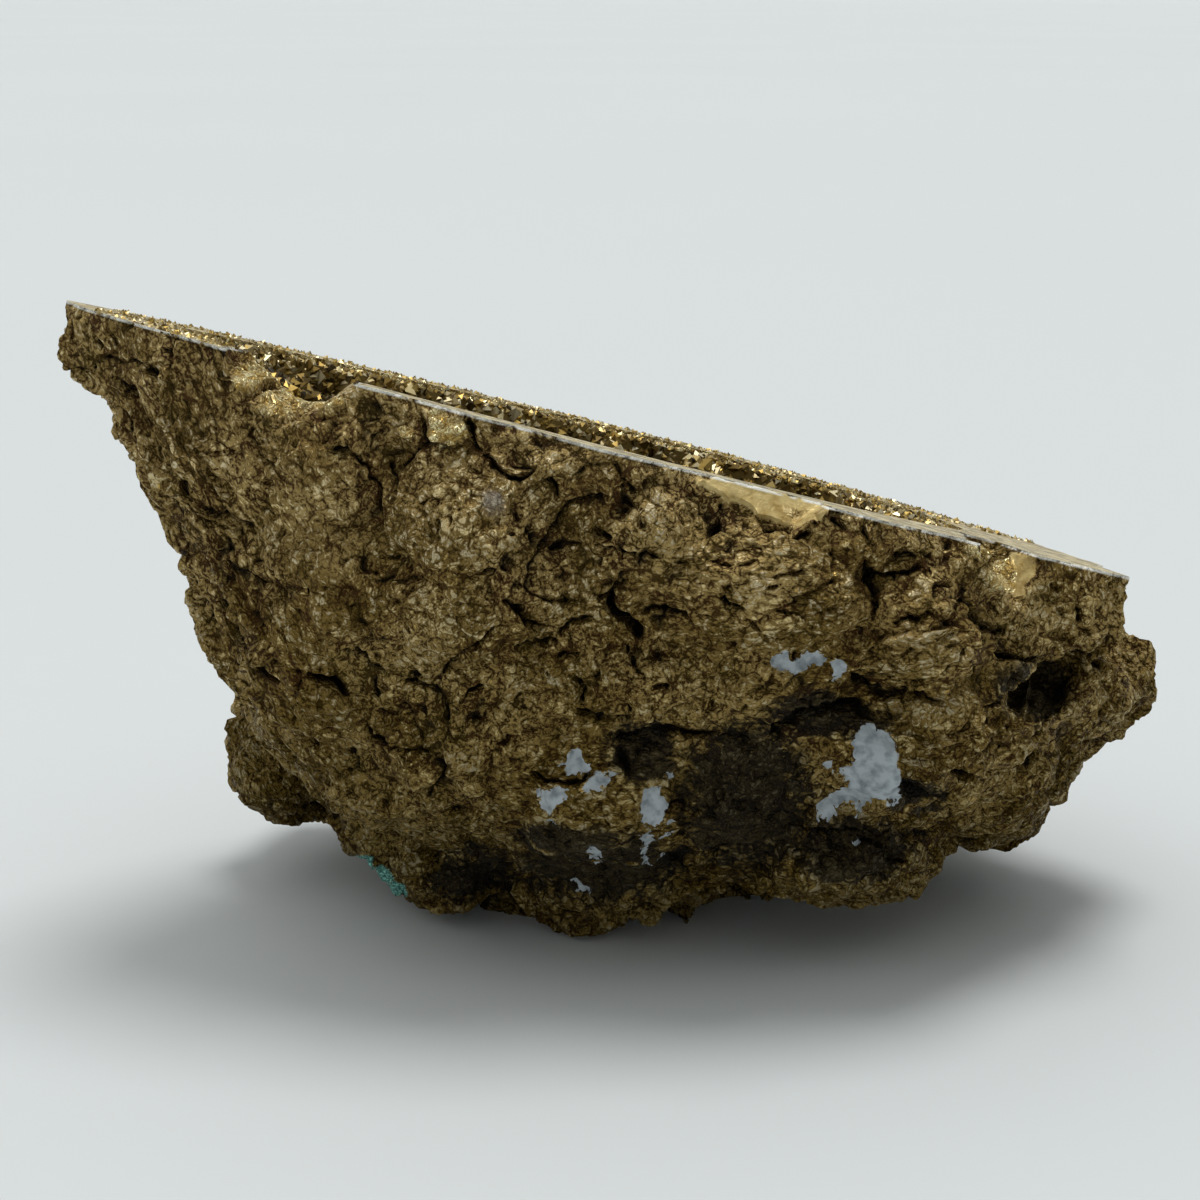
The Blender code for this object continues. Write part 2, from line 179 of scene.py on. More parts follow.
def knobs(points, size):
    """Grown knobs: how high a point lies on its knob, how near it is to a seam, and the knob's number."""
    found = [noise.voronoi(point) for point in (points / size).tolist()]
    near = np.array([pair[0][0] for pair in found])
    second = np.array([pair[0][1] for pair in found])
    middles = np.array([pair[1][0][:] for pair in found])
    number = np.modf(np.abs(np.sin(middles @ np.array((12.99, 78.23, 37.72))) * 4375.85))[0]
    return np.sqrt(np.clip(1 - near * near, 0, 1)), second - near, number


def spots(pixels, ovals):
    """1 in the middle of any of these ovals in the picture and 0 on its edge and beyond."""
    found = np.zeros(len(pixels))
    for middle_u, middle_v, half_wide, half_high in ovals:
        off = np.hypot((pixels[:, 0] - middle_u) / half_wide, (pixels[:, 1] - middle_v) / half_high)
        found = np.maximum(found, np.clip(1 - off, 0, 1))
    return found


noise.seed_set(NOISE_SEED)
nodule = copy_of_node("ore_mass", "nodule")
apply_modifier(nodule, "REMESH", mode="VOXEL", voxel_size=NODULE_GRID / 1000)

# The sawn top and the foot are lifted past their planes, to be cut flat again after the skin is worked.
points = points_of(nodule)
above = (points @ CUT_SLOPE - CUT_HEIGHT) / np.linalg.norm(CUT_SLOPE)
on_cut = above > -NEAR_PLANE
on_foot = points[:, 2] < NEAR_PLANE
points[on_cut] += CUT_NORMAL * SPARE
points[on_foot, 2] -= SPARE
move_points(nodule, points)
held = nodule.vertex_groups.new(name="soft")
held.add(np.nonzero(~on_cut & ~on_foot)[0].tolist(), 1.0, "REPLACE")
apply_modifier(nodule, "SMOOTH", factor=0.5, iterations=SOFT_STEPS, vertex_group="soft")
nodule.vertex_groups.clear()

# The fold under the block at the right end is smoothed into one round bay.
FOLD = ((1050, 690, 64, 50),)
FOLD_FRONT = -3.0
FOLD_STEPS = 160
points = points_of(nodule)
in_fold = (spots(in_picture(points), FOLD) > 0.2) & (points[:, 1] < FOLD_FRONT) & ~on_cut
fold = nodule.vertex_groups.new(name="fold")
fold.add(np.nonzero(in_fold)[0].tolist(), 1.0, "REPLACE")
apply_modifier(nodule, "SMOOTH", factor=0.5, iterations=FOLD_STEPS, vertex_group="fold")
nodule.vertex_groups.clear()

# Where each point of the skin lies: in the hollow, on the side that the camera sees, or out of its sight.
points = points_of(nodule)
outward = normals_of(nodule)
pixels = in_picture(points)
crust_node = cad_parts["druse_crust"].data
crust_tree = BVHTree.FromPolygons(
    [vertex.co[:] for vertex in crust_node.vertices], [face.vertices[:] for face in crust_node.polygons]
)
to_crust = np.array([crust_tree.find_nearest(point)[3] for point in (points / 1000).tolist()]) * 1000
in_hollow = ramp(to_crust, *HOLLOW_REACH)
toward = CAMERA_PLACE - points
toward /= np.linalg.norm(toward, axis=1, keepdims=True)
in_view = ramp(np.sum(outward * toward, axis=1), *SEEN_FROM) * (1 - in_hollow)

# Patches of bare blue-white chalcedony under the ore skin, by their outlines in the picture.
CHALCEDONY = (
    ((865, 721), (878, 726), (895, 738), (896, 751), (902, 753), (901, 760), (896, 766), (897, 772),
     (902, 772), (903, 779), (900, 798), (905, 800), (902, 807), (893, 807), (878, 800), (869, 804),
     (863, 810), (857, 822), (855, 822), (859, 806), (847, 805), (836, 812), (840, 817), (835, 822),
     (824, 827), (821, 822), (821, 808), (829, 798), (850, 786), (839, 776), (840, 769), (851, 769),
     (854, 761), (852, 743), (857, 735)),
    ((558, 765), (567, 761), (572, 750), (583, 749), (584, 760), (595, 772), (569, 775), (566, 767)),
    ((579, 789), (588, 777), (609, 769), (617, 772), (607, 781), (605, 788), (589, 791)),
    ((537, 790), (549, 790), (560, 785), (568, 789), (567, 797), (557, 806), (553, 814), (543, 814)),
    ((639, 797), (642, 788), (658, 787), (669, 804), (664, 815), (662, 826), (641, 826)),
    ((640, 836), (650, 832), (655, 841), (673, 833), (675, 836), (650, 849), (647, 858), (652, 864),
     (667, 856), (668, 859), (655, 867), (645, 864), (641, 859), (644, 847)),
    ((587, 849), (590, 842), (600, 850), (601, 856), (595, 865), (590, 858)),
    ((565, 885), (577, 879), (586, 887), (592, 898), (575, 897)),
    ((767, 660), (779, 652), (793, 654), (797, 660), (803, 652), (829, 655), (822, 668), (800, 674),
     (776, 671)),
    ((831, 664), (848, 660), (851, 672), (846, 689), (838, 690)),
    ((826, 767), (835, 764), (836, 774), (829, 776)),
    ((666, 774), (672, 773), (674, 779), (669, 781)),
    ((665, 822), (672, 820), (675, 827), (669, 830)),
    ((549, 817), (556, 819), (555, 825), (548, 822)),
    ((852, 842), (861, 840), (862, 848), (855, 849)),
)


def inside(pixels, outline):
    """Distance in pixels from an outline in the picture, above 0 inside it."""
    corners = np.array(outline, float)
    near = np.full(len(pixels), 1e9)
    crossings = np.zeros(len(pixels), int)
    for start, end in zip(corners, np.roll(corners, -1, 0)):
        side = end - start
        along = np.clip((pixels - start) @ side / (side @ side), 0, 1)
        near = np.minimum(near, np.linalg.norm(pixels - start - along[:, None] * side, axis=1))
        crosses = (start[1] > pixels[:, 1]) != (end[1] > pixels[:, 1])
        reach = start[0] + (pixels[:, 1] - start[1]) * side[0] / (side[1] if side[1] else 1)
        crossings += crosses & (pixels[:, 0] < reach)
    return np.where(crossings % 2 == 1, near, -near)


jitter = np.stack([swell(points, 0.8), swell(points + 13, 0.8)], 1)
tremble = np.stack([swell(points, 0.3), swell(points + 31, 0.3)], 1)
shaky = pixels + 2.5 * jitter + 2.0 * tremble
RED_HOLE = (799, 657, 6, 5)
FAR_OUTSIDE = -50.0
chalcedony = np.max([inside(shaky, outline) for outline in CHALCEDONY], axis=0)
chalcedony = np.where(spots(pixels, (RED_HOLE,)) > 0, FAR_OUTSIDE, chalcedony)
chalcedony = np.where(in_view > 0.3, chalcedony, FAR_OUTSIDE)

# Breaks in the skin, by their course in the picture: half width in pixels, depth in mm, and the points.
CRACKS = (
    (4, 0.4, ((99, 357), (120, 361), (140, 364))),
    (8, 0.8, ((143, 368), (152, 376))),
    (5, 0.5, ((159, 350), (168, 356))),
    (5, 0.4, ((91, 338), (99, 346))),
    (5, 0.4, ((110, 375), (127, 391))),
    (4, 0.4, ((251, 428), (253, 443), (266, 462), (281, 481))),
    (3, 0.3, ((190, 450), (212, 455), (238, 452))),
    (4, 0.5, ((331, 452), (350, 453), (361, 457), (372, 470), (379, 493), (380, 520))),
    (5, 0.6, ((360, 458), (374, 470))),
    (5, 0.6, ((393, 466), (396, 476), (391, 507))),
    (4, 0.5, ((398, 470), (415, 450), (440, 446), (455, 449))),
    (5, 0.7, ((418, 418), (420, 434), (428, 444))),
    (5, 0.8, ((466, 420), (474, 425), (471, 447), (486, 456), (503, 474), (517, 480), (528, 475))),
    (4, 0.4, ((508, 464), (526, 473))),
    (6, 0.7, ((551, 483), (558, 500))),
    (4, 0.5, ((608, 500), (587, 504), (569, 509), (560, 520), (553, 543), (542, 556), (535, 577),
              (532, 595))),
    (6, 0.7, ((552, 540), (546, 552))),
    (6, 0.6, ((538, 570), (535, 588))),
    (3, 0.4, ((532, 595), (560, 601), (585, 599))),
    (4, 0.5, ((619, 464), (625, 480), (634, 493))),
    (4, 0.5, ((630, 502), (637, 507), (640, 526))),
    (8, 0.9, ((592, 530), (606, 538))),
    (4, 0.5, ((594, 546), (618, 552), (642, 555), (662, 557))),
    (4, 0.5, ((645, 556), (658, 555))),
    (4, 0.4, ((510, 498), (513, 510), (521, 518))),
    (4, 0.4, ((451, 508), (453, 524))),
    (4, 0.4, ((510, 531), (515, 534))),
    (8, 1.0, ((510, 606), (524, 612), (540, 630))),
    (5, 0.8, ((598, 598), (611, 598), (619, 585), (622, 594))),
    (6, 0.9, ((610, 598), (615, 616), (627, 626), (642, 637))),
    (5, 0.5, ((625, 643), (638, 668), (648, 679))),
    (7, 0.9, ((557, 657), (577, 658))),
    (4, 0.5, ((518, 652), (539, 645), (556, 642))),
    (5, 0.4, ((560, 634), (575, 622), (592, 618))),
    (4, 0.6, ((440, 677), (450, 662), (477, 646), (488, 633), (505, 624))),
    (3, 0.4, ((378, 555), (393, 556))),
    (3, 0.3, ((394, 585), (408, 581), (422, 581))),
    (3, 0.3, ((403, 592), (431, 591))),
    (3, 0.3, ((480, 573), (512, 574))),
    (5, 0.4, ((243, 574), (256, 584), (262, 592), (278, 615), (292, 638))),
    (4, 0.4, ((204, 559), (213, 570))),
    (6, 0.5, ((217, 606), (226, 628), (239, 647))),
    (4, 0.4, ((249, 613), (256, 627))),
    (6, 0.6, ((258, 676), (272, 684))),
    (9, 1.1, ((312, 681), (332, 684), (346, 691))),
    (4, 0.5, ((338, 652), (348, 658), (360, 658))),
    (5, 0.5, ((365, 669), (382, 677))),
    (5, 0.6, ((370, 687), (377, 699))),
    (5, 0.6, ((367, 726), (369, 738), (382, 746))),
    (4, 0.5, ((390, 751), (404, 751))),
    (4, 0.4, ((401, 685), (422, 690), (440, 695), (442, 718))),
    (5, 0.5, ((462, 697), (481, 687))),
    (5, 0.7, ((434, 762), (442, 774), (440, 788), (426, 799))),
    (9, 1.0, ((316, 808), (326, 815))),
    (6, 0.6, ((278, 733), (284, 746), (293, 760))),
    (7, 0.6, ((654, 688), (671, 691))),
    (5, 0.6, ((573, 677), (583, 692), (581, 702))),
    (6, 0.6, ((577, 711), (600, 720), (626, 725))),
    (7, 0.8, ((622, 742), (640, 737), (672, 733), (707, 737))),
    (12, 0.9, ((622, 752), (628, 770))),
    (5, 0.8, ((534, 774), (547, 780), (560, 781), (580, 779), (593, 772))),
    (4, 0.4, ((600, 822), (616, 823), (637, 825))),
    (5, 0.6, ((666, 813), (674, 804), (685, 801))),
    (8, 0.8, ((775, 741), (800, 722), (839, 709), (862, 704))),
    (6, 0.7, ((858, 686), (872, 693), (888, 699), (919, 696), (940, 702))),
    (4, 0.5, ((864, 679), (896, 687), (919, 685), (946, 670), (964, 652))),
    (4, 0.3, ((894, 669), (903, 657), (912, 649))),
    (6, 0.7, ((955, 776), (973, 778))),
    (5, 0.5, ((946, 796), (951, 797))),
    (10, 0.8, ((904, 786), (912, 799), (934, 803))),
    (5, 0.5, ((860, 840), (881, 846))),
    (4, 0.5, ((783, 832), (820, 834), (860, 835))),
    (4, 0.4, ((882, 858), (901, 862))),
    (6, 0.7, ((871, 583), (878, 577), (899, 576), (922, 568))),
    (4, 0.4, ((901, 558), (919, 559))),
    (5, 0.5, ((936, 596), (938, 584), (955, 583))),
    (5, 0.6, ((894, 624), (911, 616), (920, 621), (931, 614), (949, 622))),
    (6, 0.8, ((967, 599), (976, 606), (985, 621), (1008, 634))),
    (6, 0.9, ((1005, 656), (1040, 659), (1062, 660), (1089, 661), (1102, 665))),
    (7, 0.7, ((1076, 606), (1079, 622))),
    (4, 0.5, ((1052, 585), (1058, 591))),
    (4, 0.5, ((1108, 643), (1116, 637), (1125, 633))),
    (4, 0.4, ((978, 672), (978, 677))),
    (5, 0.5, ((992, 708), (1000, 702))),
    (5, 0.6, ((769, 528), (787, 528))),
    (4, 0.5, ((788, 534), (812, 534))),
    (4, 0.6, ((817, 515), (817, 524))),
    (5, 0.5, ((836, 519), (845, 526))),
    (6, 0.6, ((708, 527), (719, 520))),
    (4, 0.4, ((749, 544), (761, 548))),
    (3, 0.4, ((681, 560), (700, 558), (719, 558))),
    (3, 0.4, ((719, 563), (735, 564), (753, 562))),
    (3, 0.4, ((776, 576), (790, 574), (808, 574))),
    (4, 0.5, ((766, 585), (777, 587))),
    (4, 0.5, ((792, 596), (803, 596), (820, 588), (836, 578))),
    (4, 0.5, ((764, 615), (776, 610), (796, 614), (811, 617))),
    (4, 0.5, ((814, 615), (822, 613), (836, 608))),
    (4, 0.5, ((746, 618), (758, 627))),
    (4, 0.5, ((723, 602), (740, 608), (750, 613))),
    (5, 0.7, ((799, 655), (799, 658))),
    (3, 0.5, ((862, 524), (865, 534), (872, 544))),
    (5, 0.5, ((871, 567), (875, 590), (872, 622))),
    (5, 0.5, ((640, 612), (660, 611), (690, 624))),
    (4, 0.4, ((722, 648), (745, 651), (760, 646))),
)
# Raised ribs of the left flank and ledges of the right lumps, in the same way, with their height in mm.
RIBS = (
    (5, 0.28, ((125, 397), (141, 445), (163, 486), (195, 515), (236, 527))),
    (5, 0.25, ((161, 368), (161, 422), (177, 454), (197, 465))),
    (4, 0.22, ((186, 445), (197, 468), (209, 481), (227, 499))),
    (5, 0.25, ((145, 459), (168, 495), (186, 518), (209, 549))),
    (6, 0.30, ((263, 590), (280, 610), (298, 636), (318, 645))),
    (6, 0.28, ((186, 590), (196, 625), (212, 655), (232, 684))),
    (5, 0.24, ((225, 590), (243, 622), (258, 640))),
    (5, 0.22, ((870, 648), (893, 640), (930, 636), (960, 628))),
    (5, 0.20, ((890, 735), (930, 746), (965, 738), (985, 715))),
    (5, 0.20, ((905, 760), (940, 768), (975, 752), (992, 728))),
    (5, 0.20, ((1018, 672), (1026, 690), (1024, 712), (1018, 730))),
    (5, 0.18, ((1040, 640), (1070, 646), (1098, 636))),
)


def along_course(pixels, course, half_width):
    """1 on a course in the picture, falling to 0 at half_width pixels beside it."""
    spots = np.array(course, float)
    near = np.full(len(pixels), 1e9)
    for start, end in zip(spots, spots[1:]):
        side = end - start
        along = np.clip((pixels - start) @ side / (side @ side), 0, 1)
        near = np.minimum(near, np.linalg.norm(pixels - start - along[:, None] * side, axis=1))
    return 1 - ramp(near, 0, half_width)


# Where the skin lies in ledges, where its wrinkles run down the flank, and what is smooth.
LEDGED = ((760, 590, 150, 80), (940, 650, 80, 60), (830, 700, 120, 60), (600, 800, 120, 90))
SMOOTH_BREAKS = (
    ((694, 476), (708, 485), (731, 498), (740, 499), (760, 515), (774, 518), (781, 524), (799, 523),
     (812, 518), (819, 514), (828, 515), (828, 506), (803, 498), (760, 484), (717, 477)),
    ((1005, 550), (1034, 555), (1033, 575), (1025, 585), (1025, 600), (1013, 595), (1018, 572)),
)
BROWN_LENS = ((778, 506), (815, 508), (799, 518), (785, 515))
WINDOW = ((482, 493), (500, 494), (503, 512), (497, 518), (486, 514))
wander = swell(points + 40, 6.0)
ledged = np.clip(spots(pixels, LEDGED) * 2.5, 0, 1) * in_view + ramp(wander, 0.1, 0.4) * (1 - in_view)
flank = ramp(pixels[:, 0], 420, 250) * in_view
smooth_break = np.max([ramp(inside(shaky, outline), -1, 2) for outline in SMOOTH_BREAKS], axis=0) * in_view
tan_break = smooth_break * (1 - ramp(inside(shaky, BROWN_LENS), -1, 1))
window = ramp(inside(shaky, WINDOW), -2, 2) * in_view

# Fresh gold chips, by their middles and half sizes in the picture.
FRESH_GOLD = (
    (248, 380, 18, 15), (281, 403, 28, 16), (322, 400, 26, 12), (447, 433, 26, 20), (406, 432, 9, 9),
    (1006, 576, 22, 22), (980, 551, 18, 8), (300, 398, 50, 12), (436, 420, 12, 14), (262, 372, 26, 14),
)
wide_jitter = np.stack([swell(points + 5, 2.4), swell(points + 57, 2.4)], 1)
fresh = spots(pixels + 4 * jitter, FRESH_GOLD) * in_view
NUGGET_RISE = 0.34
NUGGET_STEP = 0.2
nugget_high, _, nugget_number = knobs(shaken(points, 1.0, 0.2), 0.62)
nuggets = NUGGET_RISE * (nugget_high - 0.7) + NUGGET_STEP * (nugget_number - 0.5)

# The main knobs by their middles and half sizes in the picture, and how far each stands out in mm.
KNOBS = (
    (455, 510, 80, 66, 0.60), (432, 622, 72, 56, 0.55), (312, 520, 64, 74, 0.45), (590, 555, 48, 45, 0.30),
    (660, 520, 42, 32, 0.40), (780, 600, 96, 50, 0.50), (915, 600, 46, 38, 0.40), (925, 655, 52, 32, 0.45),
    (940, 730, 54, 48, 0.50), (1060, 608, 58, 48, 0.50), (1108, 692, 48, 34, 0.45), (1018, 715, 30, 45, 0.35),
    (1000, 800, 80, 45, 0.45), (860, 872, 90, 38, 0.50), (600, 815, 84, 78, 0.55), (500, 762, 58, 66, 0.50),
    (419, 773, 21, 21, 0.45), (330, 730, 46, 40, 0.45), (400, 850, 68, 58, 0.45), (268, 770, 50, 58, 0.50),
    (310, 632, 48, 40, 0.40), (570, 690, 60, 34, 0.35), (700, 690, 70, 46, 0.40), (720, 800, 60, 60, 0.30),
    (500, 690, 44, 36, 0.30), (668, 476, 16, 12, 0.25), (560, 468, 26, 18, 0.30), (520, 500, 34, 22, 0.25),
    (240, 470, 50, 60, 0.35), (820, 540, 60, 26, 0.30), (990, 560, 26, 20, 0.25), (870, 770, 46, 60, 0.30),
)
off_course = pixels + 9 * wide_jitter + 3 * jitter
main_knobs = np.zeros(len(points))
for middle_u, middle_v, half_wide, half_high, rise in KNOBS:
    off = ((off_course[:, 0] - middle_u) / half_wide) ** 2 + ((off_course[:, 1] - middle_v) / half_high) ** 2
    main_knobs = np.maximum(main_knobs, rise * np.clip(1 - off, 0, 1) ** 0.4)

# Knobs out of the camera's sight, and the finer relief of the whole skin.
big_high, big_seam, _ = knobs(shaken(points, 5.0, 1.6), 4.2)
_, mid_seam, mid_number = knobs(shaken(points, 2.0, 0.9), 1.5)
broad = rumple(points, 3.4, 3)
down_flank = np.array((0.5, 0.0, -0.86))
drawn_down = points - 0.5 * (points @ down_flank)[:, None] * down_flank
drawn_level = points * (0.45, 0.45, 1.0)


def creased(places, size):
    """Rounded humps about this wide, parted by sharp creases, from 0 in a crease to about 1."""
    return np.minimum(np.abs(rumple(places, size, 2)) * 2.2, 1) ** 0.6


bent = shaken(points, 1.6, 0.35)
even_humps = creased(bent, 1.7)
level_humps = creased(shaken(drawn_level, 1.6, 0.25), 0.85)
flank_humps = creased(shaken(drawn_down, 1.6, 0.25), 0.9)
humps = even_humps + (level_humps - even_humps) * 0.8 * ledged
humps += (flank_humps - humps) * 0.85 * flank
grains = creased(points + 0.12 * jitter @ np.array(((1, 0, 0), (0, 0, 1))), 0.62)

cracked = ramp(swell(points + 17, 4.5), -0.1, 0.3) * (1 - 0.6 * in_view)
seams = np.exp(-((big_seam / 0.05) ** 2)) * cracked
small_seams = np.exp(-((mid_seam / 0.09) ** 2)) * ramp(swell(points + 71, 1.4), 0.12, 0.4)
pitted = ramp(rumple(points + 9, 0.95, 3), 0.5, 0.9)
sunk = np.zeros(len(points))
ragged = pixels + 3.0 * jitter + 2.5 * tremble
for half_width, depth, course in CRACKS:
    sunk = np.maximum(sunk, along_course(ragged, course, 0.6 * half_width + 0.9) * in_view * 0.85 * depth)
sunk *= 0.7 + 0.6 * ramp(swell(points + 3, 1.0), -0.4, 0.4)
ribs = np.zeros(len(points))
for half_width, rise, course in RIBS:
    crest = along_course(pixels + 2 * jitter, course, half_width)
    beside = along_course(pixels + 2 * jitter, course, 2.6 * half_width) - crest
    ribs += (1.7 * crest - 0.9 * beside) * in_view * rise

# All of it together: how far each point is moved out along its normal, in mm.
BIG_KNOB_RISE = 0.7
BROAD_RISE = 0.20
HUMP_RISE = 0.30
GRAIN_RISE = 0.08
KNOB_STEP = 0.12
SEAM_DEPTH = 0.32
SMALL_SEAM_DEPTH = 0.24
PIT_DEPTH = 0.26
BARE_DEPTH = 0.15
chipped = ramp(fresh, 0.0, 0.25)
coarse_relief = (main_knobs - 0.35) * in_view * (1 - chipped)
coarse_relief = coarse_relief + BIG_KNOB_RISE * (big_high - 0.75) * (1 - in_view) + BROAD_RISE * broad
fine_relief = HUMP_RISE * (humps - 0.62) + GRAIN_RISE * (grains - 0.6)
fine_relief = fine_relief + KNOB_STEP * (mid_number - 0.5) * (1 - 0.6 * flank)
deep = SEAM_DEPTH * seams + SMALL_SEAM_DEPTH * small_seams + PIT_DEPTH * pitted + sunk
grainy = np.maximum(ramp(fresh, 0.1, 0.3), in_hollow)
bare = ramp(chalcedony, -1.5, 2.0)
quiet = (1 - 0.75 * bare) * (1 - 0.93 * smooth_break) * (1 - 0.9 * window)
height = coarse_relief * (1 - smooth_break) + ribs
height = height + (fine_relief - deep * (1 - 0.6 * bare)) * quiet - BARE_DEPTH * bare
height += grainy * nuggets * (1 - smooth_break)
near_cut = on_cut & (outward @ CUT_NORMAL > 0.9)
still = near_cut | (on_foot & (outward[:, 2] < -0.9))
height *= np.where(still, 0, 1) * (1 - 0.5 * in_hollow)
at_tip = (points[:, 0] < TIP_FROM) & (above > -TIP_UNDER_CUT)
height = np.where(at_tip, np.minimum(height, 0), height)
grown = points + outward * height[:, None]
low, high = (np.array(corner) * 1000 for corner in cad_box)
room = np.array((ROOM, ROOM, -SPARE))
move_points(nodule, np.clip(grown, low + room, high - room))

# What the materials read: how deep a spot lies, which darkens the colour as dark tarnish in the creases and
# as painted shade between the knobs, and where the patches of other colours are.
cavity = np.clip(0.42 - 1.5 * fine_relief * quiet + 1.5 * deep - 0.5 * coarse_relief - 0.8 * ribs, 0, 1)
store(nodule, "cavity", cavity * quiet)
store(nodule, "chalcedony", np.clip(chalcedony / 10 + 0.5, 0, 1))
store(nodule, "hollow", in_hollow)
# Black patches by their middles and half sizes in the picture: a dark coating round the chalcedony, and
# painted shade in the fold under the block at the right end.
STAINED_AND_SHADED = (
    (745, 800, 90, 100), (640, 755, 50, 40), (600, 870, 110, 50), (1034, 690, 48, 40), (850, 850, 80, 40),
    (830, 720, 80, 26), (915, 798, 40, 26), (560, 840, 60, 26), (470, 880, 60, 40),
)
VERDIGRIS = ((360, 866, 17, 13), (374, 879, 24, 14), (391, 891, 20, 12))
store(nodule, "fresh", fresh)
store(nodule, "stain_and_shade", spots(pixels + 8 * jitter, STAINED_AND_SHADED) * in_view)
store(nodule, "verdigris", spots(pixels + 4 * jitter, VERDIGRIS) * in_view)
store(nodule, "break", tan_break)
store(nodule, "window", window)
store(nodule, "flank", np.maximum(flank, ramp(swell(points + 23, 7.0), 0.1, 0.4) * (1 - in_view)))
store(nodule, "ledged", ledged)

# The mesh is thinned out, most of all where the camera doesn't look, and cut flat at the top and the foot.
detail = nodule.vertex_groups.new(name="detail")
front = ramp(outward[:, 1], 0.3, -0.2) * (1 - in_hollow)
for share in range(1, DETAIL_STEPS + 1):
    chosen = np.nonzero((front * DETAIL_STEPS).astype(int) == share)[0].tolist()
    detail.add(chosen, share / (DETAIL_STEPS + 1), "REPLACE")
apply_modifier(
    nodule, "DECIMATE", ratio=NODULE_TRIANGLES / (2 * len(nodule.data.polygons)), vertex_group="detail",
    vertex_group_factor=DETAIL_FACTOR, invert_vertex_group=True,
)
nodule.vertex_groups.clear()
move_points(nodule, np.clip(points_of(nodule), low + room, high - room))


def cut_flat(piece, place, normal, slot):
    """Cuts away what lies on the normal's side of a plane, and closes the cut with faces of one material."""
    body = bmesh.new()
    body.from_mesh(piece.data)
    parts = [*body.verts, *body.edges, *body.faces]
    bmesh.ops.bisect_plane(body, geom=parts, dist=1e-9, plane_co=place, plane_no=normal, clear_outer=True)
    plane_point, plane_normal = Vector(place), Vector(normal)
    rim = [
        edge for edge in body.edges
        if edge.is_boundary
        and all(abs((vert.co - plane_point).dot(plane_normal)) < TOUCHING_METRES for vert in edge.verts)
    ]
    body.verts.index_update()
    corners = sorted({vert for edge in rim for vert in edge.verts}, key=lambda vert: (*vert.co, vert.index))
    number = {vert: i for i, vert in enumerate(corners)}
    lay_flat = plane_normal.to_track_quat("Z", "Y").to_matrix().transposed()
    level = (lay_flat @ plane_point).z * 1000
    outline = [(lay_flat @ vert.co * 1000).to_2d() for vert in corners]
    sides = [(number[edge.verts[0]], number[edge.verts[1]]) for edge in rim]
    spots_2d, _, triangles, origins, _, _ = geometry.delaunay_2d_cdt(outline, sides, [], 2, 1e-6)
    placed = []
    for spot, origin in zip(spots_2d, origins):
        if origin:
            placed.append(corners[origin[0]])
        else:
            placed.append(body.verts.new(lay_flat.transposed() @ Vector((*spot, level)) / 1000))
    for triangle in triangles:
        corner_verts = [placed[index] for index in triangle]
        if body.faces.get(corner_verts) is None:
            body.faces.new(corner_verts).material_index = slot
    body.to_mesh(piece.data)
    body.free()


def without_crumbs(piece):
    """Keeps the largest connected part, and closes small holes in it."""
    body = bmesh.new()
    body.from_mesh(piece.data)
    unseen = set(body.verts)
    parts = []
    for first in body.verts:
        if first not in unseen:
            continue
        unseen.remove(first)
        reached = [first]
        part = []
        while reached:
            vert = reached.pop()
            part.append(vert)
            for edge in vert.link_edges:
                other = edge.other_vert(vert)
                if other in unseen:
                    unseen.remove(other)
                    reached.append(other)
        parts.append(part)
    parts.sort(key=len)
    bmesh.ops.delete(body, geom=[vert for part in parts[:-1] for vert in part], context="VERTS")
    open_edges = [edge for edge in body.edges if edge.is_boundary]
    bmesh.ops.holes_fill(body, edges=open_edges, sides=CRUMB_SIDES)
    bmesh.ops.triangulate(body, faces=[face for face in body.faces if len(face.verts) > 3])
    body.to_mesh(piece.data)
    body.free()
    piece.data.validate()


cut_flat(nodule, (0, 0, CUT_HEIGHT / 1000), CUT_NORMAL, 1)
cut_flat(nodule, (0, 0, 0), (0, 0, -1), 0)
without_crumbs(nodule)
move_points(nodule, np.clip(points_of(nodule), low + (ROOM, ROOM, 0), high - (ROOM, ROOM, TOP_ROOM)))


def linear(code):
    """A hex colour as the eye sees it, turned to the linear values that a shader takes."""
    parts = [int(code[start : start + 2], 16) / 255 for start in (1, 3, 5)]
    return (*(part / 12.92 if part <= 0.04045 else ((part + 0.055) / 1.055) ** 2.4 for part in parts), 1.0)


def add_node(tree, kind, inputs=None, out=0, **settings):
    """Adds a node with its settings, links or sets its inputs, and gives back one of its outputs."""
    made = tree.nodes.new(kind)
    for setting, value in settings.items():
        setattr(made, setting, value)
    for name, value in (inputs or {}).items():
        if isinstance(value, bpy.types.NodeSocket):
            tree.links.new(value, made.inputs[name])
        else:
            made.inputs[name].default_value = value
    return made.outputs[out]


# Tarnished chalcopyrite, grown and never polished: it gives the eye an olive bronze with a dull satin sheen,
# worm-eaten by dark brown creases a few tenths of a millimetre apart, and a few fresh grains that glint.
PALE_BRONZE = "#d6c08a"
OLIVE_BRONZE = "#a88f59"
BROWN_BRONZE = "#806937"
GREY_BRONZE = "#c3b593"
CREASE_BROWN = "#4b3a14"
CREASE_RED = "#462e13"
CRACK_SHADE_BLACK = "#130d04"
BLACK_STAIN_AND_SHADE = "#14120e"
FRESH_BRASS = "#fff2bc"
DULL_BRASS = "#c6a458"
BREAK_TAN = "#d2bc82"
BREAK_BROWN = "#a98e54"
LILAC_GREY = "#77716f"
SHEEN_WHITE = "#f6f4ea"
CHALCEDONY_PALE = "#adb4b8"
CHALCEDONY_GREY = "#7c8489"
VERDIGRIS_GREEN = "#8fd0c0"
VERDIGRIS_DARK = "#3d6f68"
HUMP_MM = 0.50
GRIT_MM = 0.18
SHELL_MM = 0.62
SHELL_BEND_MM = 0.4
FRESH_GRAIN_MM = 0.38
SHEEN_LINE_MM = 0.12
SKIN_DEPTH_MM = 0.11
ORE_MARKS = (
    "cavity", "chalcedony", "hollow", "fresh", "stain_and_shade", "verdigris", "break", "window", "flank", "ledged",
)


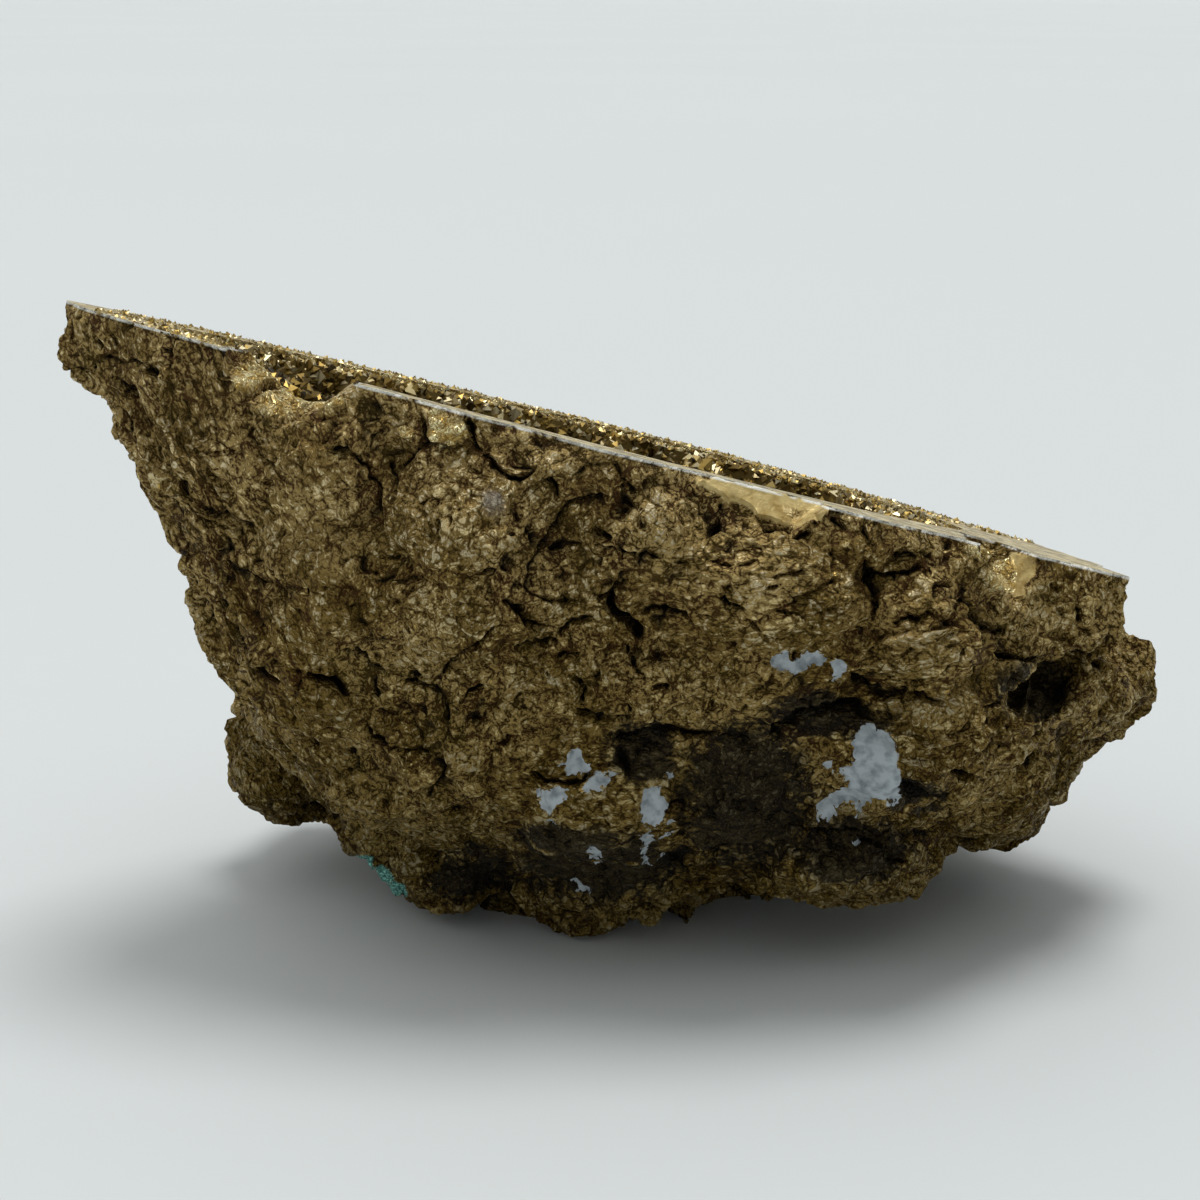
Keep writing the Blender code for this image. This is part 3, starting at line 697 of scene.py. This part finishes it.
def tarnished_ore():
    material = bpy.data.materials.new("tarnished_chalcopyrite")
    material.use_nodes = True
    tree = material.node_tree
    shader = tree.nodes["Principled BSDF"]
    noise_kind, math_kind, step_kind, mix_kind = (
        "ShaderNodeTexNoise", "ShaderNodeMath", "ShaderNodeMapRange", "ShaderNodeMix",
    )
    as_colour = {"out": 2, "data_type": "RGBA"}
    place = add_node(tree, "ShaderNodeTexCoord", out="Object")
    marks = {
        name: add_node(tree, "ShaderNodeAttribute", out="Fac", attribute_name=name) for name in ORE_MARKS
    }

    # One pattern of humps and creases, even, drawn out level, or drawn out down the flank.
    level = add_node(tree, "ShaderNodeMapping", {"Vector": place, "Scale": (0.6, 0.6, 1.0)})
    turned = add_node(tree, "ShaderNodeMapping", {"Vector": place, "Rotation": (0.0, math.radians(30), 0.0)})
    down = add_node(tree, "ShaderNodeMapping", {"Vector": turned, "Scale": (1.0, 1.0, 0.6)})
    creases = []
    for size_mm, distortion in ((HUMP_MM, 0.4), (GRIT_MM, 0.2)):
        inputs = {"Vector": place, "Scale": 1000 / size_mm, "Detail": 1.5, "Distortion": distortion}
        found = []
        for vector in (place, level, down):
            even = add_node(tree, noise_kind, {**inputs, "Vector": vector})
            signed = add_node(tree, math_kind, {0: even, 1: 2.0, 2: -1.0}, operation="MULTIPLY_ADD")
            found.append(add_node(tree, math_kind, {0: signed}, operation="ABSOLUTE"))
        both = add_node(tree, mix_kind, {0: marks["ledged"], 2: found[0], 3: found[1]})
        creases.append(add_node(tree, mix_kind, {0: marks["flank"], 2: both, 3: found[2]}))
    humps, grit = creases
    broad = add_node(tree, noise_kind, {"Vector": place, "Scale": 1000 / 4.0, "Detail": 3.0})
    medium = add_node(tree, noise_kind, {"Vector": place, "Scale": 1000 / 0.9, "Detail": 3.0})
    wander = add_node(tree, math_kind, {0: medium, 1: 1.0, 2: -0.5}, operation="MULTIPLY_ADD")

    # How far a spot stands proud: 0 in the depth of a crease, 1 on a worn hump.
    hump_rise = add_node(tree, step_kind, {"Value": humps, "From Max": 0.3}, interpolation_type="SMOOTHSTEP")
    grit_rise = add_node(tree, step_kind, {"Value": grit, "From Max": 0.3}, interpolation_type="SMOOTHSTEP")
    proud = add_node(tree, math_kind, {0: hump_rise, 1: 0.5, 2: 0.0}, operation="MULTIPLY_ADD")
    proud = add_node(tree, math_kind, {0: grit_rise, 1: 0.33, 2: proud}, operation="MULTIPLY_ADD")
    bent = add_node(tree, noise_kind, {"Vector": place, "Scale": 1000 / 0.8}, out="Color")
    bent = {0: bent, 1: (SHELL_BEND_MM / 1000,) * 3, 2: place}
    bent = add_node(tree, "ShaderNodeVectorMath", bent, operation="MULTIPLY_ADD")
    shells = {"Vector": bent, "Scale": 1000 / SHELL_MM}
    shells = add_node(tree, "ShaderNodeTexVoronoi", shells, feature="DISTANCE_TO_EDGE", out="Distance")
    shells = add_node(tree, step_kind, {"Value": shells, "From Min": 0.01, "From Max": 0.09})
    proud = add_node(tree, math_kind, {0: shells, 1: 0.25, 2: proud}, operation="MULTIPLY_ADD")
    # Depth pushes a spot towards the crease colour: the ore's dark tarnish in the creases, and painted shade
    # between the knobs.
    proud = add_node(tree, math_kind, {0: marks["cavity"], 1: -0.65, 2: proud}, operation="MULTIPLY_ADD")
    proud = add_node(tree, math_kind, {0: wander, 1: 0.5, 2: proud}, operation="MULTIPLY_ADD")
    tone = add_node(tree, step_kind, {"Value": broad, "From Min": 0.4, "From Max": 0.6})
    tone = add_node(
        tree, mix_kind, {0: tone, 6: linear(BROWN_BRONZE), 7: linear(OLIVE_BRONZE)}, **as_colour
    )
    pale = add_node(
        tree, step_kind, {"Value": proud, "From Min": 0.42, "From Max": 0.8}, interpolation_type="SMOOTHSTEP"
    )
    hue = add_node(tree, noise_kind, {"Vector": place, "Scale": 1000 / 1.7, "Detail": 2.0})
    hue = add_node(tree, step_kind, {"Value": hue, "From Min": 0.4, "From Max": 0.6})
    worn = add_node(tree, mix_kind, {0: hue, 6: linear(GREY_BRONZE), 7: linear(PALE_BRONZE)}, **as_colour)
    sunken = add_node(tree, mix_kind, {0: hue, 6: linear(CREASE_BROWN), 7: linear(CREASE_RED)}, **as_colour)
    tone = add_node(tree, mix_kind, {0: pale, 6: tone, 7: worn}, **as_colour)
    clear = add_node(
        tree, step_kind, {"Value": proud, "From Min": -0.1, "From Max": 0.38}, interpolation_type="SMOOTHSTEP"
    )
    colour = add_node(tree, mix_kind, {0: clear, 6: sunken, 7: tone}, **as_colour)
    # Painted shade: the deepest cracks are turned near black.
    crack_shade = add_node(tree, step_kind, {"Value": marks["cavity"], "From Min": 0.72, "From Max": 1.0})
    colour = add_node(tree, mix_kind, {0: crack_shade, 6: colour, 7: linear(CRACK_SHADE_BLACK)}, **as_colour)

    # Painted shade: the colour is darker and more saturated towards the foot and lighter near the top, as the
    # light from above falls.
    height = add_node(tree, "ShaderNodeSeparateXYZ", {0: place}, out="Z")
    painted_height_shade = {"Value": height, "From Min": 0.004, "From Max": 0.026, "To Min": 0.5, "To Max": 1.2}
    painted_height_shade = add_node(tree, step_kind, painted_height_shade)
    vivid = add_node(tree, math_kind, {0: painted_height_shade, 1: -0.2, 2: 1.22}, operation="MULTIPLY_ADD")
    colour = add_node(tree, "ShaderNodeHueSaturation", {"Saturation": vivid, "Value": painted_height_shade, "Color": colour})

    # Over it the black stain, partly a dark coating and partly painted shade in the fold under the block at
    # the right end, fresh gold grains, the snapped face, the glassy window, the green film and the bare
    # chalcedony.
    stain_and_shade = add_node(tree, math_kind, {0: marks["stain_and_shade"], 1: medium}, operation="MULTIPLY")
    stain_and_shade = add_node(tree, math_kind, {0: hump_rise, 1: -0.08, 2: stain_and_shade}, operation="MULTIPLY_ADD")
    stain_and_shade = add_node(tree, step_kind, {"Value": stain_and_shade, "From Min": 0.02, "From Max": 0.15, "To Max": 0.84})
    colour = add_node(tree, mix_kind, {0: stain_and_shade, 6: colour, 7: linear(BLACK_STAIN_AND_SHADE)}, **as_colour)
    grain = add_node(
        tree, "ShaderNodeTexVoronoi", {"Vector": place, "Scale": 1000 / FRESH_GRAIN_MM}, out="Color"
    )
    glint = add_node(tree, "ShaderNodeSeparateColor", {0: grain})
    gold = add_node(tree, math_kind, {0: marks["fresh"], 1: medium}, operation="MULTIPLY")
    gold = add_node(tree, step_kind, {"Value": gold, "From Min": 0.06, "From Max": 0.14})
    gold = add_node(tree, math_kind, {0: gold, 1: marks["hollow"]}, operation="MAXIMUM")
    few = add_node(tree, step_kind, {"Value": glint, "From Min": 0.965, "From Max": 0.975})
    few = add_node(tree, math_kind, {0: few, 1: pale}, operation="MULTIPLY")
    few = add_node(tree, math_kind, {0: few, 1: stain_and_shade}, operation="SUBTRACT", use_clamp=True)
    dull = add_node(tree, step_kind, {"Value": glint, "From Min": 0.3, "From Max": 0.75})
    brass = add_node(tree, mix_kind, {0: dull, 6: linear(FRESH_BRASS), 7: linear(DULL_BRASS)}, **as_colour)
    brass = add_node(tree, mix_kind, {0: grit_rise, 6: linear(OLIVE_BRONZE), 7: brass}, **as_colour)
    gold = add_node(tree, math_kind, {0: gold, 1: few}, operation="MAXIMUM")
    colour = add_node(tree, mix_kind, {0: gold, 6: colour, 7: brass}, **as_colour)
    snapped = add_node(tree, step_kind, {"Value": marks["break"], "From Min": 0.3, "From Max": 0.6})
    mottled = add_node(tree, step_kind, {"Value": medium, "From Min": 0.4, "From Max": 0.62})
    snap_tone = add_node(
        tree, mix_kind, {0: mottled, 6: linear(BREAK_TAN), 7: linear(BREAK_BROWN)}, **as_colour
    )
    colour = add_node(tree, mix_kind, {0: snapped, 6: colour, 7: snap_tone}, **as_colour)
    glassy = add_node(tree, math_kind, {0: marks["window"], 1: 0.7}, operation="MULTIPLY")
    colour = add_node(tree, mix_kind, {0: glassy, 6: colour, 7: linear(LILAC_GREY)}, **as_colour)
    green = add_node(tree, math_kind, {0: marks["verdigris"], 1: medium}, operation="MULTIPLY")
    green = add_node(tree, step_kind, {"Value": green, "From Min": 0.04, "From Max": 0.1})
    film = add_node(
        tree, mix_kind, {0: grit_rise, 6: linear(VERDIGRIS_DARK), 7: linear(VERDIGRIS_GREEN)}, **as_colour
    )
    colour = add_node(tree, mix_kind, {0: green, 6: colour, 7: film}, **as_colour)
    shore = add_node(tree, noise_kind, {"Vector": place, "Scale": 1000 / 0.3, "Detail": 4.0})
    shore = add_node(tree, math_kind, {0: shore, 1: 1.1, 2: -0.58}, operation="MULTIPLY_ADD")
    bare = add_node(tree, math_kind, {0: marks["chalcedony"], 1: shore}, operation="ADD")
    bare = add_node(tree, step_kind, {"Value": bare, "From Min": 0.48, "From Max": 0.53})
    cloudy = add_node(tree, noise_kind, {"Vector": place, "Scale": 1000 / 0.5, "Detail": 5.0})
    cloudy = add_node(tree, step_kind, {"Value": cloudy, "From Min": 0.42, "From Max": 0.68})
    milky = add_node(
        tree, mix_kind, {0: cloudy, 6: linear(CHALCEDONY_PALE), 7: linear(CHALCEDONY_GREY)}, **as_colour
    )
    colour = add_node(tree, mix_kind, {0: bare, 6: colour, 7: milky}, **as_colour)

    # Right under the cut a thin pale line is painted on the skin: a painted sheen of the polished edge seen
    # at a low angle.
    along_cut = {0: place, 1: tuple(CUT_NORMAL)}
    along_cut = add_node(tree, "ShaderNodeVectorMath", along_cut, out="Value", operation="DOT_PRODUCT")
    top = CUT_HEIGHT / 1000 / float(np.linalg.norm(CUT_SLOPE))
    rim = {"Value": along_cut, "From Min": top - 1.3 * SHEEN_LINE_MM / 1000, "From Max": top - 0.7 * SHEEN_LINE_MM / 1000}
    rim = add_node(tree, step_kind, rim)
    unbroken = add_node(tree, step_kind, {"Value": medium, "From Min": 0.34, "From Max": 0.44})
    rim = add_node(tree, math_kind, {0: rim, 1: unbroken}, operation="MULTIPLY")
    rim = add_node(tree, math_kind, {0: rim, 1: marks["hollow"]}, operation="SUBTRACT", use_clamp=True)
    colour = add_node(tree, mix_kind, {0: rim, 6: colour, 7: linear(SHEEN_WHITE)}, **as_colour)
    tree.links.new(colour, shader.inputs["Base Color"])

    # Stone, film and rim don't shine as metal; fresh grains shine most, and creases stay rough.
    plain = add_node(tree, math_kind, {0: bare, 1: green}, operation="MAXIMUM")
    plain = add_node(tree, math_kind, {0: plain, 1: rim}, operation="MAXIMUM")
    metal = add_node(tree, math_kind, {0: gold, 1: 0.2, 2: 0.4}, operation="MULTIPLY_ADD")
    metal = add_node(tree, math_kind, {0: metal, 1: plain}, operation="SUBTRACT", use_clamp=True)
    tree.links.new(metal, shader.inputs["Metallic"])
    shader.inputs["Specular IOR Level"].default_value = 0.15
    rough = add_node(tree, step_kind, {"Value": grit_rise, "To Min": 0.72, "To Max": 0.46})
    rough = add_node(tree, math_kind, {0: gold, 1: -0.16, 2: rough}, operation="MULTIPLY_ADD")
    rough = add_node(tree, mix_kind, {0: bare, 2: rough, 3: 0.35})
    tree.links.new(rough, shader.inputs["Roughness"])
    skin = add_node(tree, math_kind, {0: grit_rise, 1: 0.3, 2: hump_rise}, operation="MULTIPLY_ADD")
    skin = add_node(tree, math_kind, {0: shells, 1: 0.5, 2: skin}, operation="MULTIPLY_ADD")
    facets = add_node(tree, math_kind, {0: glint, 1: gold}, operation="MULTIPLY")
    skin = add_node(tree, math_kind, {0: facets, 1: 0.6, 2: skin}, operation="MULTIPLY_ADD")
    smooth = add_node(tree, math_kind, {0: bare, 1: snapped}, operation="MAXIMUM")
    strength = add_node(tree, step_kind, {"Value": smooth, "To Min": 1.0, "To Max": 0.14})
    bump = {"Strength": strength, "Distance": SKIN_DEPTH_MM / 1000, "Height": skin}
    bump = add_node(tree, "ShaderNodeBump", bump)
    tree.links.new(bump, shader.inputs["Normal"])
    return material


# The sawn face: the same ore, cut with a diamond saw and polished. It gives the eye pale brass in a satin
# sheen, mottled by the lighter and darker grains of the ore, each half a millimetre wide.
POLISHED_GRAIN_MM = 0.5
POLISHED_CLOUD_MM = 1.6


def polished_ore():
    material = bpy.data.materials.new("polished_chalcopyrite")
    material.use_nodes = True
    tree = material.node_tree
    shader = tree.nodes["Principled BSDF"]
    place = add_node(tree, "ShaderNodeTexCoord", out="Object")
    cloud = {"Vector": place, "Scale": 1000 / POLISHED_CLOUD_MM, "Detail": 6}
    cloud = add_node(tree, "ShaderNodeTexNoise", cloud)
    grain = {"Vector": place, "Scale": 1000 / POLISHED_GRAIN_MM}
    grain = add_node(tree, "ShaderNodeTexVoronoi", grain, out="Color")
    grain = add_node(tree, "ShaderNodeSeparateColor", {0: grain})
    brass = add_node(tree, "ShaderNodeValToRGB", {"Fac": grain})
    ends = brass.node.color_ramp.elements
    ends[0].color, ends[1].color = linear("#7d6a3c"), linear("#f3e2ac")
    ends.new(0.5).color = linear("#c9ae6c")
    tree.links.new(brass, shader.inputs["Base Color"])
    shader.inputs["Metallic"].default_value = 0.6
    rough = add_node(tree, "ShaderNodeMapRange", {"Value": cloud, "To Min": 0.3, "To Max": 0.45})
    tree.links.new(rough, shader.inputs["Roughness"])
    return material


nodule.data.materials.append(tarnished_ore())
nodule.data.materials.append(polished_ore())
only(nodule)
bpy.ops.object.shade_smooth_by_angle(angle=math.radians(38))
for face in nodule.data.polygons:
    if face.material_index == 1:
        face.use_smooth = False
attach(nodule, "root")
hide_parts("ore_mass")

# The druse: a thin crust of small wedge-shaped crystals that grew side by side on the hollow's wall, brassy
# and untarnished because the hollow stayed closed until the saw opened it.
CRYSTAL_COUNT = 20000
CRYSTAL_SIZES = (0.12, 0.42)
EDGE_GRAIN_COUNT = 2800
EDGE_GRAIN_SIZES = (0.09, 0.2)
EDGE_GRAINS_SUNK = 0.06
EDGE_GRAINS_FROM = (-24.0, -1.0)
TIP_GRAINS_TO = -15.5
LEAST_UNDER_CUT = 0.05
WALL_TINT = 0.2
CRYSTAL_LEAN = 0.7
CRYSTAL_SHAPES = (0.7, 1.3)
DRUSE_SEED = 21
HOLLOW_MIDDLE = np.array((-0.6, -3.6, 29.0))
WEDGE_POINTS = np.array(
    ((1, 0, 0), (0, 1, 0), (-1, 0, 0), (0, -1, 0), (0.35, 0.35, 1), (-0.35, -0.35, -1)), float
)
WEDGE_FACES = [(i, (i + 1) % 4, 4) for i in range(4)] + [((i + 1) % 4, i, 5) for i in range(4)]

druse = copy_of_node("druse_crust", "druse_lining")
rng = np.random.default_rng(DRUSE_SEED)


def strewn(faces, corners, count):
    """Random spots spread evenly over these faces, each with its face's normal."""
    areas = np.cumsum([face.area for face in faces])
    for _ in range(count):
        face = faces[int(np.searchsorted(areas, rng.uniform(0, areas[-1])))]
        across, along = rng.uniform(0, 1, 2)
        if across + along > 1:
            across, along = 1 - across, 1 - along
        one, two, three = corners[list(face.vertices[:3])]
        yield one + (two - one) * across + (three - one) * along, face.normal


def crystal(spot, normal, size):
    """The corners of one crystal that leans a little from the wall it grew on."""
    lean = Vector(rng.uniform(-CRYSTAL_LEAN, CRYSTAL_LEAN, 3))
    upright = np.array((normal + lean).normalized().to_track_quat("Z", "Y").to_matrix())
    return spot + (WEDGE_POINTS * rng.uniform(*CRYSTAL_SHAPES, 3) * size) @ upright.T


crust_points = points_of(druse)
inner_faces = [
    face for face in druse.data.polygons
    if np.array(face.normal) @ (HOLLOW_MIDDLE / 1000 - np.array(face.center)) > 0 and face.normal.z > -0.35
]
crystals = []
for spot, normal in strewn(inner_faces, crust_points, CRYSTAL_COUNT):
    size = CRYSTAL_SIZES[0] + (CRYSTAL_SIZES[1] - CRYSTAL_SIZES[0]) * rng.uniform() ** 2
    placed = crystal(spot, normal, size)
    below_cut = (CUT_HEIGHT - placed @ CUT_SLOPE).min()
    if below_cut > LEAST_UNDER_CUT:
        # Crystals lower under the cut get darker tints: painted shade deep in the hollow.
        crystals.append((placed, rng.uniform() * (1 - 0.85 * ramp(below_cut, 0.4, 1.6))))

# Along the back and at the tip the saw tore the edge of the polished face into small grains.
sawn_faces = [face for face in nodule.data.polygons if face.material_index == 1]
for spot, normal in strewn(sawn_faces, points_of(nodule), EDGE_GRAIN_COUNT):
    if spot[0] > EDGE_GRAINS_FROM[0] and (spot[1] > EDGE_GRAINS_FROM[1] or spot[0] < TIP_GRAINS_TO):
        placed = crystal(spot - EDGE_GRAINS_SUNK * CUT_NORMAL, normal, rng.uniform(*EDGE_GRAIN_SIZES))
        crystals.append((np.clip(placed, low, high), rng.uniform(0.2, 1)))

corner_sets = [tuple(face.vertices) for face in druse.data.polygons]
for number in range(len(crystals)):
    start = len(crust_points) + number * len(WEDGE_POINTS)
    corner_sets.extend(tuple(start + corner for corner in face) for face in WEDGE_FACES)
all_points = np.vstack([crust_points] + [placed for placed, _ in crystals])
mesh = bpy.data.meshes.new("druse_lining")
mesh.from_pydata((all_points / 1000).tolist(), [], corner_sets)
mesh.update()
druse.data = mesh
crystal_tints = np.repeat([tint_and_shade for _, tint_and_shade in crystals], len(WEDGE_POINTS))
store(druse, "tint_and_shade", np.concatenate([np.full(len(crust_points), WALL_TINT), crystal_tints]))


def brassy_crystal():
    material = bpy.data.materials.new("untarnished_chalcopyrite")
    material.use_nodes = True
    tree = material.node_tree
    shader = tree.nodes["Principled BSDF"]
    tint_and_shade = add_node(tree, "ShaderNodeAttribute", out="Fac", attribute_name="tint_and_shade")
    brass = add_node(tree, "ShaderNodeValToRGB", {"Fac": tint_and_shade})
    ends = brass.node.color_ramp.elements
    ends[0].color = linear("#362a12")
    ends[1].color = linear("#f4dfa4")
    for position, code in ((0.3, "#7a632f"), (0.55, "#bd9f55"), (0.8, "#c4b999")):
        ends.new(position).color = linear(code)
    tree.links.new(brass, shader.inputs["Base Color"])
    shader.inputs["Metallic"].default_value = 0.8
    place = add_node(tree, "ShaderNodeTexCoord", out="Object")
    film = add_node(tree, "ShaderNodeTexNoise", {"Vector": place, "Scale": 1000 / 0.6, "Detail": 3})
    rough = add_node(tree, "ShaderNodeMapRange", {"Value": film, "To Min": 0.28, "To Max": 0.55})
    tree.links.new(rough, shader.inputs["Roughness"])
    bump = add_node(tree, "ShaderNodeBump", {"Strength": 0.5, "Distance": 0.00004, "Height": film})
    tree.links.new(bump, shader.inputs["Normal"])
    return material


druse.data.materials.append(brassy_crystal())
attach(druse, "root")
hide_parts("druse_crust")

# The studio: a pale matt paper floor that curves up into a wall far off on every side, under one broad soft
# sky light and a very soft lamp over and behind the stone, so that its front stays in soft shade.
FLOOR_RADIUS = 9.0
WALL_HEIGHT = 3.0
CURVE_RADIUS = 2.5
LAMP_STRENGTH = 1.35
LAMP_SPREAD = math.radians(24)
LAMP_TURN = (math.radians(-9), math.radians(7), 0)
SKY_MIDDLE = (-0.22, 0.12, 0.97)
SKY_FROM = 0.26
SKY_STRENGTHS = (0.03, 1.06)
bpy.ops.object.select_all(action="DESELECT")
bpy.ops.mesh.primitive_cylinder_add(
    vertices=96, radius=FLOOR_RADIUS, depth=WALL_HEIGHT, location=(0, 0, WALL_HEIGHT / 2)
)
floor = bpy.context.object
floor.name = "floor"
bpy.ops.object.transform_apply(location=True, rotation=True, scale=True)
bpy.ops.object.mode_set(mode="EDIT")
bpy.ops.mesh.select_mode(type="FACE")
bpy.ops.mesh.select_all(action="DESELECT")
bpy.ops.object.mode_set(mode="OBJECT")
for face in floor.data.polygons:
    face.select = face.normal.z > 0.9
bpy.ops.object.mode_set(mode="EDIT")
bpy.ops.mesh.delete(type="ONLY_FACE")
bpy.ops.mesh.select_all(action="SELECT")
bpy.ops.mesh.flip_normals()
bpy.ops.mesh.select_mode(type="EDGE")
bpy.ops.mesh.select_all(action="DESELECT")
bpy.ops.object.mode_set(mode="OBJECT")
for edge in floor.data.edges:
    edge.select = all(floor.data.vertices[index].co.z < 0.01 for index in edge.vertices)
bpy.ops.object.mode_set(mode="EDIT")
bpy.ops.mesh.bevel(offset=CURVE_RADIUS, segments=24, profile=0.5)
bpy.ops.object.mode_set(mode="OBJECT")
bpy.ops.object.shade_smooth()
paper = bpy.data.materials.new("pale_matt_paper")
paper.use_nodes = True
paper_tree = paper.node_tree
paper_shader = paper_tree.nodes["Principled BSDF"]
tooth = add_node(paper_tree, "ShaderNodeTexNoise", {"Scale": 60, "Detail": 2})
paper_colour = add_node(paper_tree, "ShaderNodeValToRGB", {"Fac": tooth})
paper_colour.node.color_ramp.elements[0].color = linear("#dde1e1")
paper_colour.node.color_ramp.elements[1].color = linear("#e2e6e6")
paper_tree.links.new(paper_colour, paper_shader.inputs["Base Color"])
paper_shader.inputs["Roughness"].default_value = 0.7
floor.data.materials.append(paper)

bpy.ops.object.light_add(type="SUN", location=(0, 0, 1))
lamp = bpy.context.object
lamp.name = "broad_soft_light"
lamp.data.energy = LAMP_STRENGTH
lamp.data.angle = LAMP_SPREAD
lamp.rotation_euler = LAMP_TURN
world = bpy.context.scene.world or bpy.data.worlds.new("studio")
bpy.context.scene.world = world
world.use_nodes = True
sky = world.node_tree.nodes["Background"]
way = add_node(world.node_tree, "ShaderNodeTexCoord", out="Generated")
toward_light = add_node(
    world.node_tree, "ShaderNodeVectorMath", {0: way, 1: SKY_MIDDLE}, out="Value", operation="DOT_PRODUCT"
)
bright = add_node(
    world.node_tree, "ShaderNodeMapRange",
    {"Value": toward_light, "From Min": SKY_FROM, "To Min": SKY_STRENGTHS[0], "To Max": SKY_STRENGTHS[1]},
)
sky.inputs["Color"].default_value = linear("#eef1f1")
world.node_tree.links.new(bright, sky.inputs["Strength"])
bpy.context.scene.view_settings.view_transform = "Standard"
